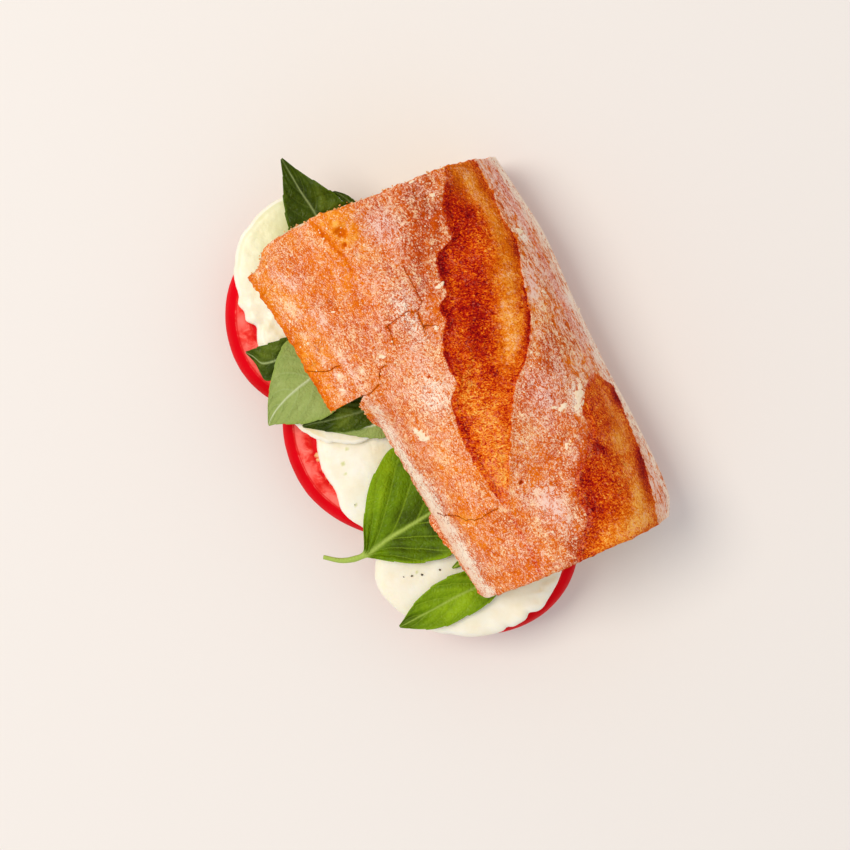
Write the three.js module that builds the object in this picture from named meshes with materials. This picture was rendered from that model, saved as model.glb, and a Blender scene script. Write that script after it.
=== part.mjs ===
import * as THREE from 'three';

// Caprese sandwich: a cut length of crusty loaf, split and propped open along one
// side by slices of tomato and mozzarella and by basil leaves.
// Millimetres, +Z up, +X along the loaf, the filling shows on the -Y side.

// heights of the layers
const touchGap = 0.3;
const bottomHeight = 20;
const tomatoThick = 5.5;
const tomatoFloor = bottomHeight + touchGap;
const mozzarellaFloor = tomatoFloor + tomatoThick + touchGap;
const mozzarellaTop = 32.2;
const toppingFloor = mozzarellaTop + touchGap;
const toppingTop = 34.8;
const leafRise = 0.35;
const leafThick = 0.6;

// underside of the upper bread: a plane that rises from the back seam to the front
const seamHeight = 20.3;
const seamY = 63.3;
const seamSkew = 0.079;
const openSlope = 0.195;

// crust of the upper bread
const crown = 34;
const rimThick = 3.2;
const sideReach = 42;
const sidePower = 3;
const flapJoin = 14;
const backReach = 30;
const backPower = 2.6;
const flapFront = -33.4;
const sideFront = -22.6;
const flapEnd = -6.5;
const cutDepth = 2.8;
const cutFloor = 0.9;
const lipRise = 0.7;
const closedCut = 1.5;

// lower bread
const baseInset = 11;

const breadMaterial = new THREE.MeshStandardMaterial({ color: 0xd08a52, roughness: 0.85 });
const tomatoMaterial = new THREE.MeshStandardMaterial({ color: 0xd8261c, roughness: 0.3 });
const mozzarellaMaterial = new THREE.MeshStandardMaterial({ color: 0xf3ecd6, roughness: 0.4 });
const basilMaterial = new THREE.MeshStandardMaterial({ color: 0x5b8418, roughness: 0.5 });

const clamp = (value, low, high) => Math.min(Math.max(value, low), high);
const mix = (a, b, t) => a + (b - a) * t;

function ease(from, to, x) {
  const t = clamp((x - from) / (to - from), 0, 1);
  return t * t * (3 - 2 * t);
}

// smooth curve y(x) through a few points, level beyond its ends
function through(points) {
  const last = points.length - 1;
  const slope = (i) => {
    const before = points[Math.max(i - 1, 0)];
    const after = points[Math.min(i + 1, last)];
    return (after[1] - before[1]) / (after[0] - before[0]);
  };
  return (x) => {
    if (x <= points[0][0]) return points[0][1];
    if (x >= points[last][0]) return points[last][1];
    const i = points.findIndex((point) => point[0] > x) - 1;
    const width = points[i + 1][0] - points[i][0];
    const t = (x - points[i][0]) / width;
    const a = points[i][1];
    const b = points[i + 1][1];
    const turnIn = slope(i) * width;
    const turnOut = slope(i + 1) * width;
    const cubic = 2 * a - 2 * b + turnIn + turnOut;
    const square = 3 * b - 3 * a - 2 * turnIn - turnOut;
    return ((cubic * t + square) * t + turnIn) * t + a;
  };
}

// the two cut ends, x against y
const leftEnd = through([
  [-33.5, -64.2], [-28.6, -65], [-24.6, -68.2], [-14, -69.6], [-2, -67.6], [18, -63.6], [45, -59.4], [64, -55.6],
]);
const rightEnd = through([[-21, 77], [-8, 77.5], [12, 80], [30, 82.8], [44, 86.4], [50, 88.6]]);
const alongLoaf = (u, y) => mix(leftEnd(y), rightEnd(y), u);

// long edges, y against x
const backEdge = through([[-55, 64.2], [-39, 64.7], [-22, 64.8], [4, 61.5], [30, 58.9], [53, 57.6], [81, 54.2], [89, 49.5]]);
const sideEdge = (x) => sideFront + 0.8 * Math.sin(x / 17 + 1.1);
const flapEdge = (x) => flapFront + 0.4 * Math.sin(x / 9);
const flapShare = (x) => 1 - ease(flapEnd - 3, flapEnd + 2.4, x);
const frontEdge = (x) => mix(sideEdge(x), flapEdge(x), flapShare(x));

// the two openings torn where the loaf was scored, each between a near and a far lip
const firstNear = through([
  [-60, 45], [-50, 37.7], [-38, 33.8], [-34.5, 27.5], [-20, 19.6], [0, 12], [15, 3.8], [31, 0], [52, 0.6], [80, -1],
]);
const firstFar = through([[-58, 56.3], [-38, 54], [-23, 52.8], [-3, 44.5], [9, 35.5], [24, 20.8], [44, 6.8], [53, 2.3], [80, 0.5]]);
const secondNear = through([
  [-57, 60.2], [-20, 58.2], [10, 54.4], [27, 51.5], [35, 44], [44.5, 41.5], [54, 29], [70, 22], [79, 13.4],
]);
const secondFar = through([[-57, 61.7], [-20, 60], [10, 56.2], [27, 53], [38, 57], [52, 54.4], [63, 52.3], [76, 48], [84, 44.5]]);

const underside = (x, y) => seamHeight + openSlope * (seamY - seamSkew * x - y);

// rise of the crust from the front edge: steep and round, or a straight slope on the flap
function frontRise(x, y) {
  const round = (inward) => 1 - Math.pow(1 - clamp(inward / sideReach, 0, 1), sidePower);
  const inward = y - sideEdge(x);
  if (inward >= flapJoin) return round(inward);
  const edge = flapEdge(x);
  const slope = round(flapJoin) * clamp((y - edge) / (sideEdge(x) + flapJoin - edge), 0, 1);
  return mix(round(inward), slope, flapShare(x));
}

function crustHeight(x, y) {
  const front = frontRise(x, y);
  const back = 1 - Math.pow(1 - clamp((backEdge(x) - y) / backReach, 0, 1), backPower);
  const swell = 0.8 * Math.sin(x / 11 + 1.3) * Math.sin(y / 13 - 0.6) + 0.4 * Math.sin(x / 5.3 + y / 7.1);
  return crown * front * back + swell * Math.min(front, back);
}

// how far the floor of an opening lies under the crust, or its lip above it (negative)
function cutAt(share, width) {
  const open = clamp((width - closedCut) / 6, 0, 1);
  if (share <= 0 || share >= 1) return -lipRise * open;
  return open * (cutFloor + cutDepth * Math.pow(1 - share, 0.8));
}

function makeMesh(name, corners, faces, material) {
  const geometry = new THREE.BufferGeometry();
  geometry.setAttribute('position', new THREE.Float32BufferAttribute(corners.flat(), 3));
  geometry.setIndex(faces.flat());
  geometry.computeVertexNormals();
  const mesh = new THREE.Mesh(geometry, material);
  mesh.name = name;
  return mesh;
}

// closed body from equal loops of corners along +X, each loop running +Y over the top
function loft(name, loops, material) {
  const count = loops[0].length;
  const faces = [];
  for (let i = 0; i < loops.length - 1; i += 1) {
    for (let k = 0; k < count; k += 1) {
      const a = i * count + k;
      const b = i * count + ((k + 1) % count);
      faces.push([a, a + count, b + count]);
      faces.push([a, b + count, b]);
    }
  }
  for (const [index, side] of [[0, -1], [loops.length - 1, 1]]) {
    const flat = loops[index].map(([, y, z]) => new THREE.Vector2(y, z));
    for (const [a, b, c] of THREE.ShapeUtils.triangulateShape(flat, [])) {
      const area = flat[b].clone().sub(flat[a]).cross(flat[c].clone().sub(flat[a]));
      const order = area * side > 0 ? [a, b, c] : [a, c, b];
      faces.push(order.map((corner) => corner + index * count));
    }
  }
  return makeMesh(name, loops.flat(), faces, material);
}

// where a line y(x) crosses the section at share u of the loaf's length
function meet(line, u) {
  let y = line(alongLoaf(u, 0));
  for (let step = 0; step < 8; step += 1) y = line(alongLoaf(u, y));
  return y;
}

const spread = (count, power) => Array.from({ length: count }, (_, i) => Math.pow(i / count, power));

function upperSection(u) {
  const front = meet(frontEdge, u);
  const near1 = meet(firstNear, u);
  const far1 = Math.max(meet(firstFar, u), near1 + closedCut);
  const near2 = Math.max(meet(secondNear, u), far1 + 2);
  const far2 = Math.max(meet(secondFar, u), near2 + closedCut);
  const back = meet(backEdge, u);
  const place = (y, cut) => {
    const x = alongLoaf(u, y);
    return [x, y, underside(x, y) + rimThick + crustHeight(x, y) - cut];
  };
  const loop = [];
  const opening = (near, far) => {
    const width = far - near;
    const lip = Math.min(0.8 / width, 0.2);
    for (const share of [0, lip, 0.28, 0.52, 0.76, 1 - lip]) {
      loop.push(place(mix(near, far, share), cutAt(share, width)));
    }
  };
  for (const share of spread(11, 1.55)) loop.push(place(mix(front, near1, share), 0));
  opening(near1, far1);
  for (const share of spread(5, 1)) {
    loop.push(place(mix(far1, near2, share), share === 0 ? cutAt(0, far1 - near1) : 0));
  }
  opening(near2, far2);
  loop.push(place(far2, cutAt(1, far2 - near2)));
  for (const share of [0.35, 0.65, 0.87, 1]) loop.push(place(mix(far2, back, share), 0));
  for (const share of [0, 0.25, 0.5, 0.75, 1]) {
    const y = mix(back - 0.8, front + 0.8, share);
    const x = alongLoaf(u, y);
    loop.push([x, y, underside(x, y)]);
  }
  return loop;
}

function makeUpperBread() {
  const even = Array.from({ length: 46 }, (_, i) => i / 45);
  const atFlapEnd = [0.389, 0.408, 0.415, 0.429, 0.436];
  const stations = [...even, ...atFlapEnd].sort((a, b) => a - b);
  return loft('bread_top', stations.map(upperSection), breadMaterial);
}

function lowerSection(u) {
  const front = meet(sideEdge, u) + 0.6;
  const back = meet(backEdge, u) - 0.6;
  const loop = [];
  const place = (y, z) => loop.push([alongLoaf(u, y), y, z]);
  for (const share of [0, 0.25, 0.5, 0.75]) place(mix(front, back, share), bottomHeight);
  for (let step = 0; step <= 7; step += 1) {
    const angle = (step / 7) * (Math.PI / 2);
    place(back - baseInset * (1 - Math.cos(angle)), bottomHeight * (1 - Math.sin(angle)));
  }
  for (const share of [0.25, 0.5, 0.75]) place(mix(back - baseInset, front + baseInset, share), 0);
  for (let step = 7; step >= 1; step -= 1) {
    const angle = (step / 7) * (Math.PI / 2);
    place(front + baseInset * (1 - Math.cos(angle)), bottomHeight * (1 - Math.sin(angle)));
  }
  return loop;
}

function makeLowerBread() {
  const stations = Array.from({ length: 37 }, (_, i) => i / 36);
  return loft('bread_bottom', stations.map(lowerSection), breadMaterial);
}

// distance beyond the lower bread, and how far a slice droops there
function overhang(x, y) {
  return Math.hypot(Math.max(sideEdge(x) + 0.6 - y, 0), Math.max(leftEnd(y) - x, x - rightEnd(y), 0));
}
const droop = (x, y) => 0.003 * Math.max(overhang(x, y) - 2, 0) ** 2;

// a slice: an oval outline, deeper behind than in front, with rings from top to bottom
function makeSlice(name, size, material) {
  const { centre, halfLong, halfFront, halfBack, turn, clip, ragged, rings, floor, top, segments } = size;
  const outline = [];
  for (let i = 0; i < segments; i += 1) {
    const angle = (i / segments) * 2 * Math.PI;
    const across = Math.sin(angle) < 0 ? halfFront : halfBack;
    const radius = 1 / Math.hypot(Math.cos(angle) / halfLong, Math.sin(angle) / across);
    const rough = ragged.reduce((sum, [size0, waves, phase]) => sum + size0 * Math.sin(waves * angle + phase), 0);
    const point = new THREE.Vector2((radius + rough) * Math.cos(angle), (radius + rough) * Math.sin(angle));
    point.rotateAround(new THREE.Vector2(0, 0), turn);
    outline.push([clamp(centre[0] + point.x, clip[0], clip[1]), centre[1] + point.y]);
  }
  const corners = [];
  const addRing = ({ share, inset, rise }) => {
    for (const [edgeX, edgeY] of outline) {
      const reach = Math.hypot(edgeX - centre[0], edgeY - centre[1]);
      const scale = (share * (reach - inset)) / reach;
      const x = mix(centre[0], edgeX, scale);
      const y = mix(centre[1], edgeY, scale);
      corners.push([x, y, mix(floor, top(x, y), rise) - droop(x, y)]);
    }
  };
  rings.forEach(addRing);
  const faces = [];
  for (let r = 0; r < rings.length - 1; r += 1) {
    for (let i = 0; i < segments; i += 1) {
      const next = (i + 1) % segments;
      const a = r * segments + i;
      const b = r * segments + next;
      faces.push([a, a + segments, b + segments]);
      faces.push([a, b + segments, b]);
    }
  }
  const topMiddle = corners.length;
  corners.push([...centre, top(...centre) - droop(...centre)]);
  corners.push([...centre, floor - droop(...centre)]);
  const lastRing = (rings.length - 1) * segments;
  for (let i = 0; i < segments; i += 1) {
    const next = (i + 1) % segments;
    faces.push([topMiddle, i, next]);
    faces.push([topMiddle + 1, lastRing + next, lastRing + i]);
  }
  return makeMesh(name, corners, faces, material);
}

// the skin of a tomato slice leans outward towards its lower face
const tomatoRings = [
  { share: 0.5, inset: 0, rise: 1 },
  { share: 1, inset: 4.4, rise: 1 },
  { share: 1, inset: 1.7, rise: 0.72 },
  { share: 1, inset: 0.3, rise: 0.35 },
  { share: 1, inset: 0, rise: 0.1 },
  { share: 1, inset: 1, rise: 0 },
  { share: 0.5, inset: 0, rise: 0 },
];
const tomatoSlices = {
  tomato_slice_left: { centre: [-39.2, -18.3], halfLong: 36.6, halfFront: 36.6, halfBack: 34, turn: 0, clip: [-90, -18.6] },
  tomato_slice_middle: { centre: [8, -29.9], halfLong: 36, halfFront: 28.5, halfBack: 44, turn: 0, clip: [-18.1, 37.7] },
  tomato_slice_right: { centre: [65.6, -11.8], halfLong: 30, halfFront: 35.6, halfBack: 32, turn: -0.13, clip: [38.2, 100] },
};

function makeTomatoSlice([name, size]) {
  const top = () => tomatoFloor + tomatoThick;
  const shape = { ragged: [[0.3, 3, 0.7], [0.2, 5, 2]], rings: tomatoRings, floor: tomatoFloor, top, segments: 40 };
  return makeSlice(name, { ...size, ...shape }, tomatoMaterial);
}

// soft rounded edge of a mozzarella slice
const mozzarellaRings = [
  { share: 0.4, inset: 0, rise: 1 },
  { share: 0.75, inset: 0, rise: 1 },
  { share: 1, inset: 2.4, rise: 0.97 },
  { share: 1, inset: 0.8, rise: 0.8 },
  { share: 1, inset: 0, rise: 0.45 },
  { share: 1, inset: 0.7, rise: 0.12 },
  { share: 1, inset: 2.2, rise: 0 },
  { share: 0.5, inset: 0, rise: 0 },
];
const torn = [[0.7, 5, 1.2], [0.5, 9, 0.4], [0.35, 14, 2.2]];
const mozzarellaSlices = {
  mozzarella_slice_left: { centre: [-46.3, -13.1], halfLong: 37.2, halfFront: 31.2, halfBack: 30, turn: 0, clip: [-90, -19.2] },
  mozzarella_slice_middle: { centre: [17.4, -14], halfLong: 38.9, halfFront: 35.6, halfBack: 30, turn: 0, clip: [-18.6, 37.7] },
  mozzarella_slice_right: { centre: [61.6, -18.3], halfLong: 30.6, halfFront: 35.6, halfBack: 34, turn: -0.45, clip: [38.2, 100] },
};
const softTop = (x, y) => 0.3 * (1 + Math.sin(x / 7 + 0.5) * Math.sin(y / 6));
const underBread = (x, y, level, room) => Math.min(level, underside(x, y) - room);
const mozzarellaSurface = (x, y) => underBread(x, y, mozzarellaTop, 1.5);
const toppingSurface = (x, y) => underBread(x, y, toppingTop, 2.3);

function makeMozzarellaSlice([name, size]) {
  const top = (x, y) => mozzarellaSurface(x, y) - softTop(x, y);
  const shape = { ragged: torn, rings: mozzarellaRings, floor: mozzarellaFloor, top, segments: 44 };
  return makeSlice(name, { ...size, ...shape }, mozzarellaMaterial);
}

function makeTopping() {
  const size = { centre: [-14, -28], halfLong: 21, halfFront: 18.8, halfBack: 13, turn: 0, clip: [-28.2, 12] };
  const ragged = [[1.3, 3, -0.26], [0.3, 7, 1]];
  const shape = { ragged, rings: mozzarellaRings, floor: toppingFloor, top: toppingSurface, segments: 36 };
  return makeSlice('mozzarella_slice_small', { ...size, ...shape }, mozzarellaMaterial);
}

// highest level a leaf may take: close under the upper bread, free a little way outside it
function ceiling(x, y) {
  const outside = Math.max(frontEdge(x) - y, leftEnd(y) - x, x - rightEnd(y));
  return underside(x, y) - touchGap - leafThick - 0.05 + 1.2 * Math.max(outside - 3, 0);
}

// a leaf: rows from its base to its tip, each row [x, y] on one edge then on the other;
// fold lifts the edges above the midrib, tipLift raises the tip, waves ruffle the edges
const basilLeaves = {
  basil_leaf_back_left: {
    rows: [
      [-57.5, -4.6, -57.3, -2.4], [-61, -10.5, -59.5, 5.5], [-67.5, -13.2, -66, 9], [-74.7, -11.5, -72.8, 8],
      [-81, -8.8, -80, 4.7], [-87.5, -5.2, -87, 1.4], [-94.3, -2.2, -94.5, -1.3],
    ],
    floor: mozzarellaSurface, fold: 1.6, tipLift: 1.5, wave: 0.7, waves: 3, midrib: 0.5, steps: [11, 8],
  },
  basil_leaf_small_left: {
    rows: [[-58, 10.9, -58.2, 12.6], [-63, 9.9, -63, 13.4], [-68, 9.4, -68.2, 12.6], [-72, 8.5, -71.6, 11.2], [-75, 7.6, -74.8, 8.5]],
    floor: mozzarellaSurface, fold: 0.5, tipLift: 0.3, wave: 0.3, waves: 2, midrib: 0.5, steps: [6, 4],
  },
  basil_leaf_front_left: {
    rows: [
      [-33.4, -24, -31, -24.6], [-37, -28, -30, -31], [-39.1, -33, -29.2, -38], [-40.3, -38.6, -28.7, -44.4],
      [-41.6, -43.8, -30.5, -48.3], [-42.3, -47, -37.5, -48.3], [-42.9, -49, -42.3, -49.3],
    ],
    floor: mozzarellaSurface, fold: 0.5, tipLift: 0, wave: 0.25, waves: 3, midrib: 0.5, steps: [9, 6],
  },
  basil_leaf_front_pale: {
    rows: [
      [-25.4, -26, -22.4, -26], [-33, -28.4, -13, -26.6], [-38, -33, -8.4, -31], [-36.8, -37.3, -8.3, -39],
      [-32.4, -43.2, -10.6, -45.6], [-26.2, -49.2, -13.4, -50.3], [-21.2, -53, -15, -53.4], [-16.6, -55.9, -15.7, -55.9],
    ],
    floor: (x, y) => mix(34.2, 36.6, ease(-36, -12, x)) - mozzarellaTop + mozzarellaSurface(x, y),
    fold: 0.4, tipLift: -1.6, wave: 0.3, waves: 3, midrib: 0.52, steps: [12, 8],
  },
  basil_leaf_dark: {
    rows: [
      [-3.6, -17.6, -1, -18], [-7, -22, 2.3, -22], [-9.2, -27.5, 2.4, -27], [-10.6, -33.4, 0.6, -32.4],
      [-11.2, -39, -2.7, -38.2], [-10.6, -43, -6.6, -42.9], [-9.6, -45.6, -8.8, -45.6],
    ],
    floor: (x, y) => toppingSurface(x, y) + 0.95 * ease(-5.6, -3.2, x),
    fold: 0.2, tipLift: 0, wave: 0.1, waves: 3, midrib: 0.5, steps: [9, 6],
  },
  basil_leaf_tucked: {
    rows: [[3, -18.2, 5, -18.4], [-1, -21, 9.6, -21.4], [-2, -26.5, 7.4, -26.2], [-2.4, -31.5, 3.2, -31.6], [-2.6, -37, -1.8, -37.4]],
    floor: toppingSurface, fold: 0, tipLift: 0, wave: 0, waves: 1, midrib: 0.5, steps: [7, 5],
  },
  basil_leaf_with_stem: {
    rows: [
      [34.3, -64.2, 35.5, -65.2], [38.4, -59.4, 40, -60.3], [40.1, -55.2, 42.2, -55.8], [40.6, -51.4, 43.2, -51],
      [31.6, -45.2, 47.6, -45], [22.6, -37.6, 52.4, -38.6], [17.4, -30.4, 55.8, -31.8], [14.4, -23, 57.5, -24.6],
      [17, -15, 55, -15.6], [25, -9.6, 47, -10], [34.6, -7.4, 38, -7.4],
    ],
    floor: mozzarellaSurface, fold: 2.6, tipLift: 0, wave: 0.7, waves: 4, midrib: 0.62, steps: [19, 9],
  },
  basil_leaf_front_right: {
    rows: [
      [70.6, -11.6, 72.6, -11.6], [66.8, -16, 77, -14.6], [65.4, -23.5, 79.6, -22.4], [64.1, -30, 79.6, -30.6],
      [64.3, -37.4, 78.6, -39.8], [66.2, -45.6, 75.9, -46.6], [68.6, -50.8, 73, -51.2], [70.1, -54.2, 71, -54.2],
    ],
    floor: mozzarellaSurface, fold: 1.2, tipLift: 1.2, wave: 0.5, waves: 3, midrib: 0.5, steps: [12, 8],
  },
  basil_leaf_tip: {
    rows: [[61.4, -13, 62.6, -13], [60.6, -18, 63.4, -18], [60.9, -23, 63.5, -23], [61.9, -26.8, 62.7, -26.8]],
    floor: mozzarellaSurface, fold: 0.2, tipLift: 0.3, wave: 0, waves: 1, midrib: 0.5, steps: [5, 3],
  },
};

function makeLeaf([name, leaf]) {
  const curveOf = (offset) => {
    const points = leaf.rows.map((row) => new THREE.Vector3(row[offset], row[offset + 1], 0));
    return new THREE.CatmullRomCurve3(points);
  };
  const nearEdge = curveOf(0);
  const farEdge = curveOf(2);
  const [along, across] = leaf.steps;
  const lower = [];
  for (let i = 0; i <= along; i += 1) {
    const u = i / along;
    const a = nearEdge.getPoint(u);
    const b = farEdge.getPoint(u);
    for (let j = 0; j <= across; j += 1) {
      const v = j / across;
      const x = mix(a.x, b.x, v);
      const y = mix(a.y, b.y, v);
      const fromMidrib = v < leaf.midrib ? 1 - v / leaf.midrib : (v - leaf.midrib) / (1 - leaf.midrib);
      const body = Math.sin(Math.PI * clamp(u, 0, 1)) ** 0.6;
      const ruffle = 1 + Math.sin(2 * Math.PI * (leaf.waves * u + 0.35 * v));
      const lift = leaf.fold * fromMidrib ** 1.5 * body + leaf.tipLift * u * u + leaf.wave * ruffle * fromMidrib * body;
      lower.push([x, y, Math.min(leaf.floor(x, y) + leafRise + lift, ceiling(x, y)) - droop(x, y)]);
    }
  }
  const upper = lower.map(([x, y, z]) => [x, y, z + leafThick]);
  const count = lower.length;
  const width = across + 1;
  const faces = [];
  const quad = (a, b, c, d) => faces.push([a, b, c], [a, c, d]);
  for (let i = 0; i < along; i += 1) {
    for (let j = 0; j < across; j += 1) {
      const a = i * width + j;
      quad(a + count, a + width + count, a + width + 1 + count, a + 1 + count);
      faces.push([a, a + width + 1, a + width], [a, a + 1, a + width + 1]);
    }
  }
  const rim = [];
  for (let i = 0; i < along; i += 1) rim.push(i * width);
  for (let j = 0; j < across; j += 1) rim.push(along * width + j);
  for (let i = along; i > 0; i -= 1) rim.push(i * width + across);
  for (let j = across; j > 0; j -= 1) rim.push(j);
  rim.forEach((from, k) => {
    const to = rim[(k + 1) % rim.length];
    quad(from, to, to + count, from + count);
  });
  return turnedOutward(makeMesh(name, [...lower, ...upper], faces, basilMaterial));
}

// leaves whose rows run the other way round come out inside out; this turns them
function turnedOutward(mesh) {
  const { position } = mesh.geometry.attributes;
  const index = mesh.geometry.index.array;
  const [a, b, c] = [0, 1, 2].map(() => new THREE.Vector3());
  let volume = 0;
  for (let i = 0; i < index.length; i += 3) {
    a.fromBufferAttribute(position, index[i]);
    b.fromBufferAttribute(position, index[i + 1]);
    c.fromBufferAttribute(position, index[i + 2]);
    volume += a.dot(b.cross(c)) / 6;
  }
  if (volume < 0) index.reverse();
  mesh.geometry.computeVertexNormals();
  return mesh;
}

const group = new THREE.Group();
group.name = 'caprese_sandwich';
group.add(makeUpperBread(), makeLowerBread());
Object.entries(tomatoSlices).forEach((entry) => group.add(makeTomatoSlice(entry)));
Object.entries(mozzarellaSlices).forEach((entry) => group.add(makeMozzarellaSlice(entry)));
group.add(makeTopping());
Object.entries(basilLeaves).forEach((entry) => group.add(makeLeaf(entry)));

// origin under the middle of the whole sandwich
const box = new THREE.Box3().setFromObject(group);
const middle = box.getCenter(new THREE.Vector3());
group.children.forEach((mesh) => mesh.geometry.translate(-middle.x, -middle.y, -box.min.z));

export default group;
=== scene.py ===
import math

import bpy
import numpy as np
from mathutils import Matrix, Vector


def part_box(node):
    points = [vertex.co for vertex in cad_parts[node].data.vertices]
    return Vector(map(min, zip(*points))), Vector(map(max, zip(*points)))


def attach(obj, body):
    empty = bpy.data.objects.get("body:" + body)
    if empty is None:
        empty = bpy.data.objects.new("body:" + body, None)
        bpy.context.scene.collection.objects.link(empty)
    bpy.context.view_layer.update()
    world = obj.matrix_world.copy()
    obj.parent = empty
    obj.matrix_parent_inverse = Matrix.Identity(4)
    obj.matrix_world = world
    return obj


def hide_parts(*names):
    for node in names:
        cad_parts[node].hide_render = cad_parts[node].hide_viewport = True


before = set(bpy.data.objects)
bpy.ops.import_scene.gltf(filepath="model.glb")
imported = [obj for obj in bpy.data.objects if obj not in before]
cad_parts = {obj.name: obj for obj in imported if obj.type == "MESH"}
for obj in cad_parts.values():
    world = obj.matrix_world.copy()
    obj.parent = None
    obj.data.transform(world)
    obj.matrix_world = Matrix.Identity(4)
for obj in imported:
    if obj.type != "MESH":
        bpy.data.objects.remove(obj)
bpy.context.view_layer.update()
print("frame loaded:", len(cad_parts), "nodes")

# Everything below is laid out in millimetres, +X along the loaf, the filling on the -Y side.
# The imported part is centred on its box, so two of its leaves give the shift from this layout.
shift = np.array([
    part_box("basil_leaf_back_left")[0].x * 1000 + 94.5,
    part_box("basil_leaf_with_stem")[0].y * 1000 + 65.2,
    0,
])


def mix(a, b, t):
    return a + (b - a) * t


def ease(low, high, x):
    t = np.clip((x - low) / (high - low), 0, 1)
    return t * t * (3 - 2 * t)


def through(points):
    # smooth curve y(x) through a few points, level beyond its ends
    knotX, knotY = np.array(points, float).T
    slope = np.empty(len(knotX))
    slope[1:-1] = (knotY[2:] - knotY[:-2]) / (knotX[2:] - knotX[:-2])
    slope[0] = (knotY[1] - knotY[0]) / (knotX[1] - knotX[0])
    slope[-1] = (knotY[-1] - knotY[-2]) / (knotX[-1] - knotX[-2])

    def curve(x):
        x = np.clip(x, knotX[0], knotX[-1])
        i = np.clip(np.searchsorted(knotX, x, side="right") - 1, 0, len(knotX) - 2)
        width = knotX[i + 1] - knotX[i]
        t = (x - knotX[i]) / width
        a, b = knotY[i], knotY[i + 1]
        turnIn, turnOut = slope[i] * width, slope[i + 1] * width
        cubic = 2 * a - 2 * b + turnIn + turnOut
        square = 3 * b - 3 * a - 2 * turnIn - turnOut
        return ((cubic * t + square) * t + turnIn) * t + a

    return curve


def lumps(a, b, size, seed):
    # soft random field over two lengths in mm, its lumps as wide as size, from -1 to 1
    tile = 128
    table = np.random.default_rng(seed).uniform(-1, 1, (tile, tile))
    u, v = a / size, b / size
    i, j = np.floor(u).astype(int), np.floor(v).astype(int)
    s, t = ease(0, 1, u - i), ease(0, 1, v - j)
    i, j, k, m = i % tile, j % tile, (i + 1) % tile, (j + 1) % tile
    return mix(mix(table[i, j], table[k, j], s), mix(table[i, m], table[k, m], s), t)


def rough(a, b, size, seed, layers=3):
    # lumps in several sizes, each layer turned a little and half as large as the one before
    total, share = 0, 1
    for layer in range(layers):
        turn = 0.6 + 1.1 * layer
        c, s = math.cos(turn), math.sin(turn)
        total = total + share * lumps(a * c - b * s, a * s + b * c, size / 2 ** layer, seed + layer)
        share *= 0.55
    return total


def spot(x, y, centreX, centreY, halfLong, halfWide, turn=0):
    # 1 in the middle of an oval patch, fading out round it; turn is in degrees
    c, s = math.cos(math.radians(turn)), math.sin(math.radians(turn))
    along = ((x - centreX) * c + (y - centreY) * s) / halfLong
    across = ((y - centreY) * c - (x - centreX) * s) / halfWide
    return np.exp(-(along ** 2 + across ** 2) ** 1.3)


def distanceTo(x, y, line):
    # distance in mm from points to a line of straight pieces
    best = np.full(np.shape(x), 1e9)
    for (ax, ay), (bx, by) in zip(line[:-1], line[1:]):
        dx, dy = bx - ax, by - ay
        t = np.clip(((x - ax) * dx + (y - ay) * dy) / (dx * dx + dy * dy), 0, 1)
        best = np.minimum(best, np.hypot(x - ax - t * dx, y - ay - t * dy))
    return best


def linear(text, alpha=1.0):
    # sRGB hex to the linear colour that shaders take
    parts = [int(text[i:i + 2], 16) / 255 for i in (1, 3, 5)]
    return [c / 12.92 if c <= 0.04045 else ((c + 0.055) / 1.055) ** 2.4 for c in parts] + [alpha]


def perMetre(millimetres):
    # texture scale that makes a pattern's features this wide
    return 1000 / millimetres


def addNode(tree, kind, inputs=None, output=0, stops=None, **settings):
    # one shader node; a value goes on its socket and another node's output is linked to it
    node = tree.nodes.new("ShaderNode" + kind)
    for name, value in settings.items():
        setattr(node, name, value)
    for name, value in (inputs or {}).items():
        if isinstance(value, bpy.types.NodeSocket):
            tree.links.new(value, node.inputs[name])
        else:
            node.inputs[name].default_value = value
    if stops:
        # a ramp's places and colours
        elements = node.color_ramp.elements
        while len(elements) < len(stops):
            elements.new(0.5)
        for element, (place, text) in zip(elements, stops):
            element.position = place
            element.color = linear(text)
    return node.outputs[output]


def layered(tree, value, *terms):
    # a value plus others, each times its share
    for term, share in terms:
        value = addNode(tree, "Math", {0: term, 1: share, 2: value}, operation="MULTIPLY_ADD")
    return value


def painted(tree, colour, *coats):
    # a colour under coats of others, each laid on by its mask
    for mask, coat in coats:
        coat = linear(coat) if isinstance(coat, str) else coat
        colour = addNode(tree, "Mix", {"Factor": mask, "A": colour, "B": coat}, "Result", data_type="RGBA")
    return colour


def startMaterial(name, maskNames=(), **values):
    # a principled material with these values, and the masks that it reads from the points of a mesh
    material = bpy.data.materials.new(name)
    material.use_nodes = True
    tree = material.node_tree
    for socket, value in values.items():
        tree.nodes["Principled BSDF"].inputs[socket.replace("_", " ")].default_value = value
    masks = {mask: addNode(tree, "Attribute", output="Fac", attribute_name=mask) for mask in maskNames}
    return material, tree, masks


def finishMaterial(tree, colour, height, strength, depth, roughness=None):
    # links the colour, a bump of this depth in metres and perhaps an uneven roughness to the shader
    normal = addNode(tree, "Bump", {"Height": height, "Strength": strength, "Distance": depth})
    for socket, value in (("Base Color", colour), ("Normal", normal), ("Roughness", roughness)):
        if value is not None:
            tree.links.new(value, tree.nodes["Principled BSDF"].inputs[socket])


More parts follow.
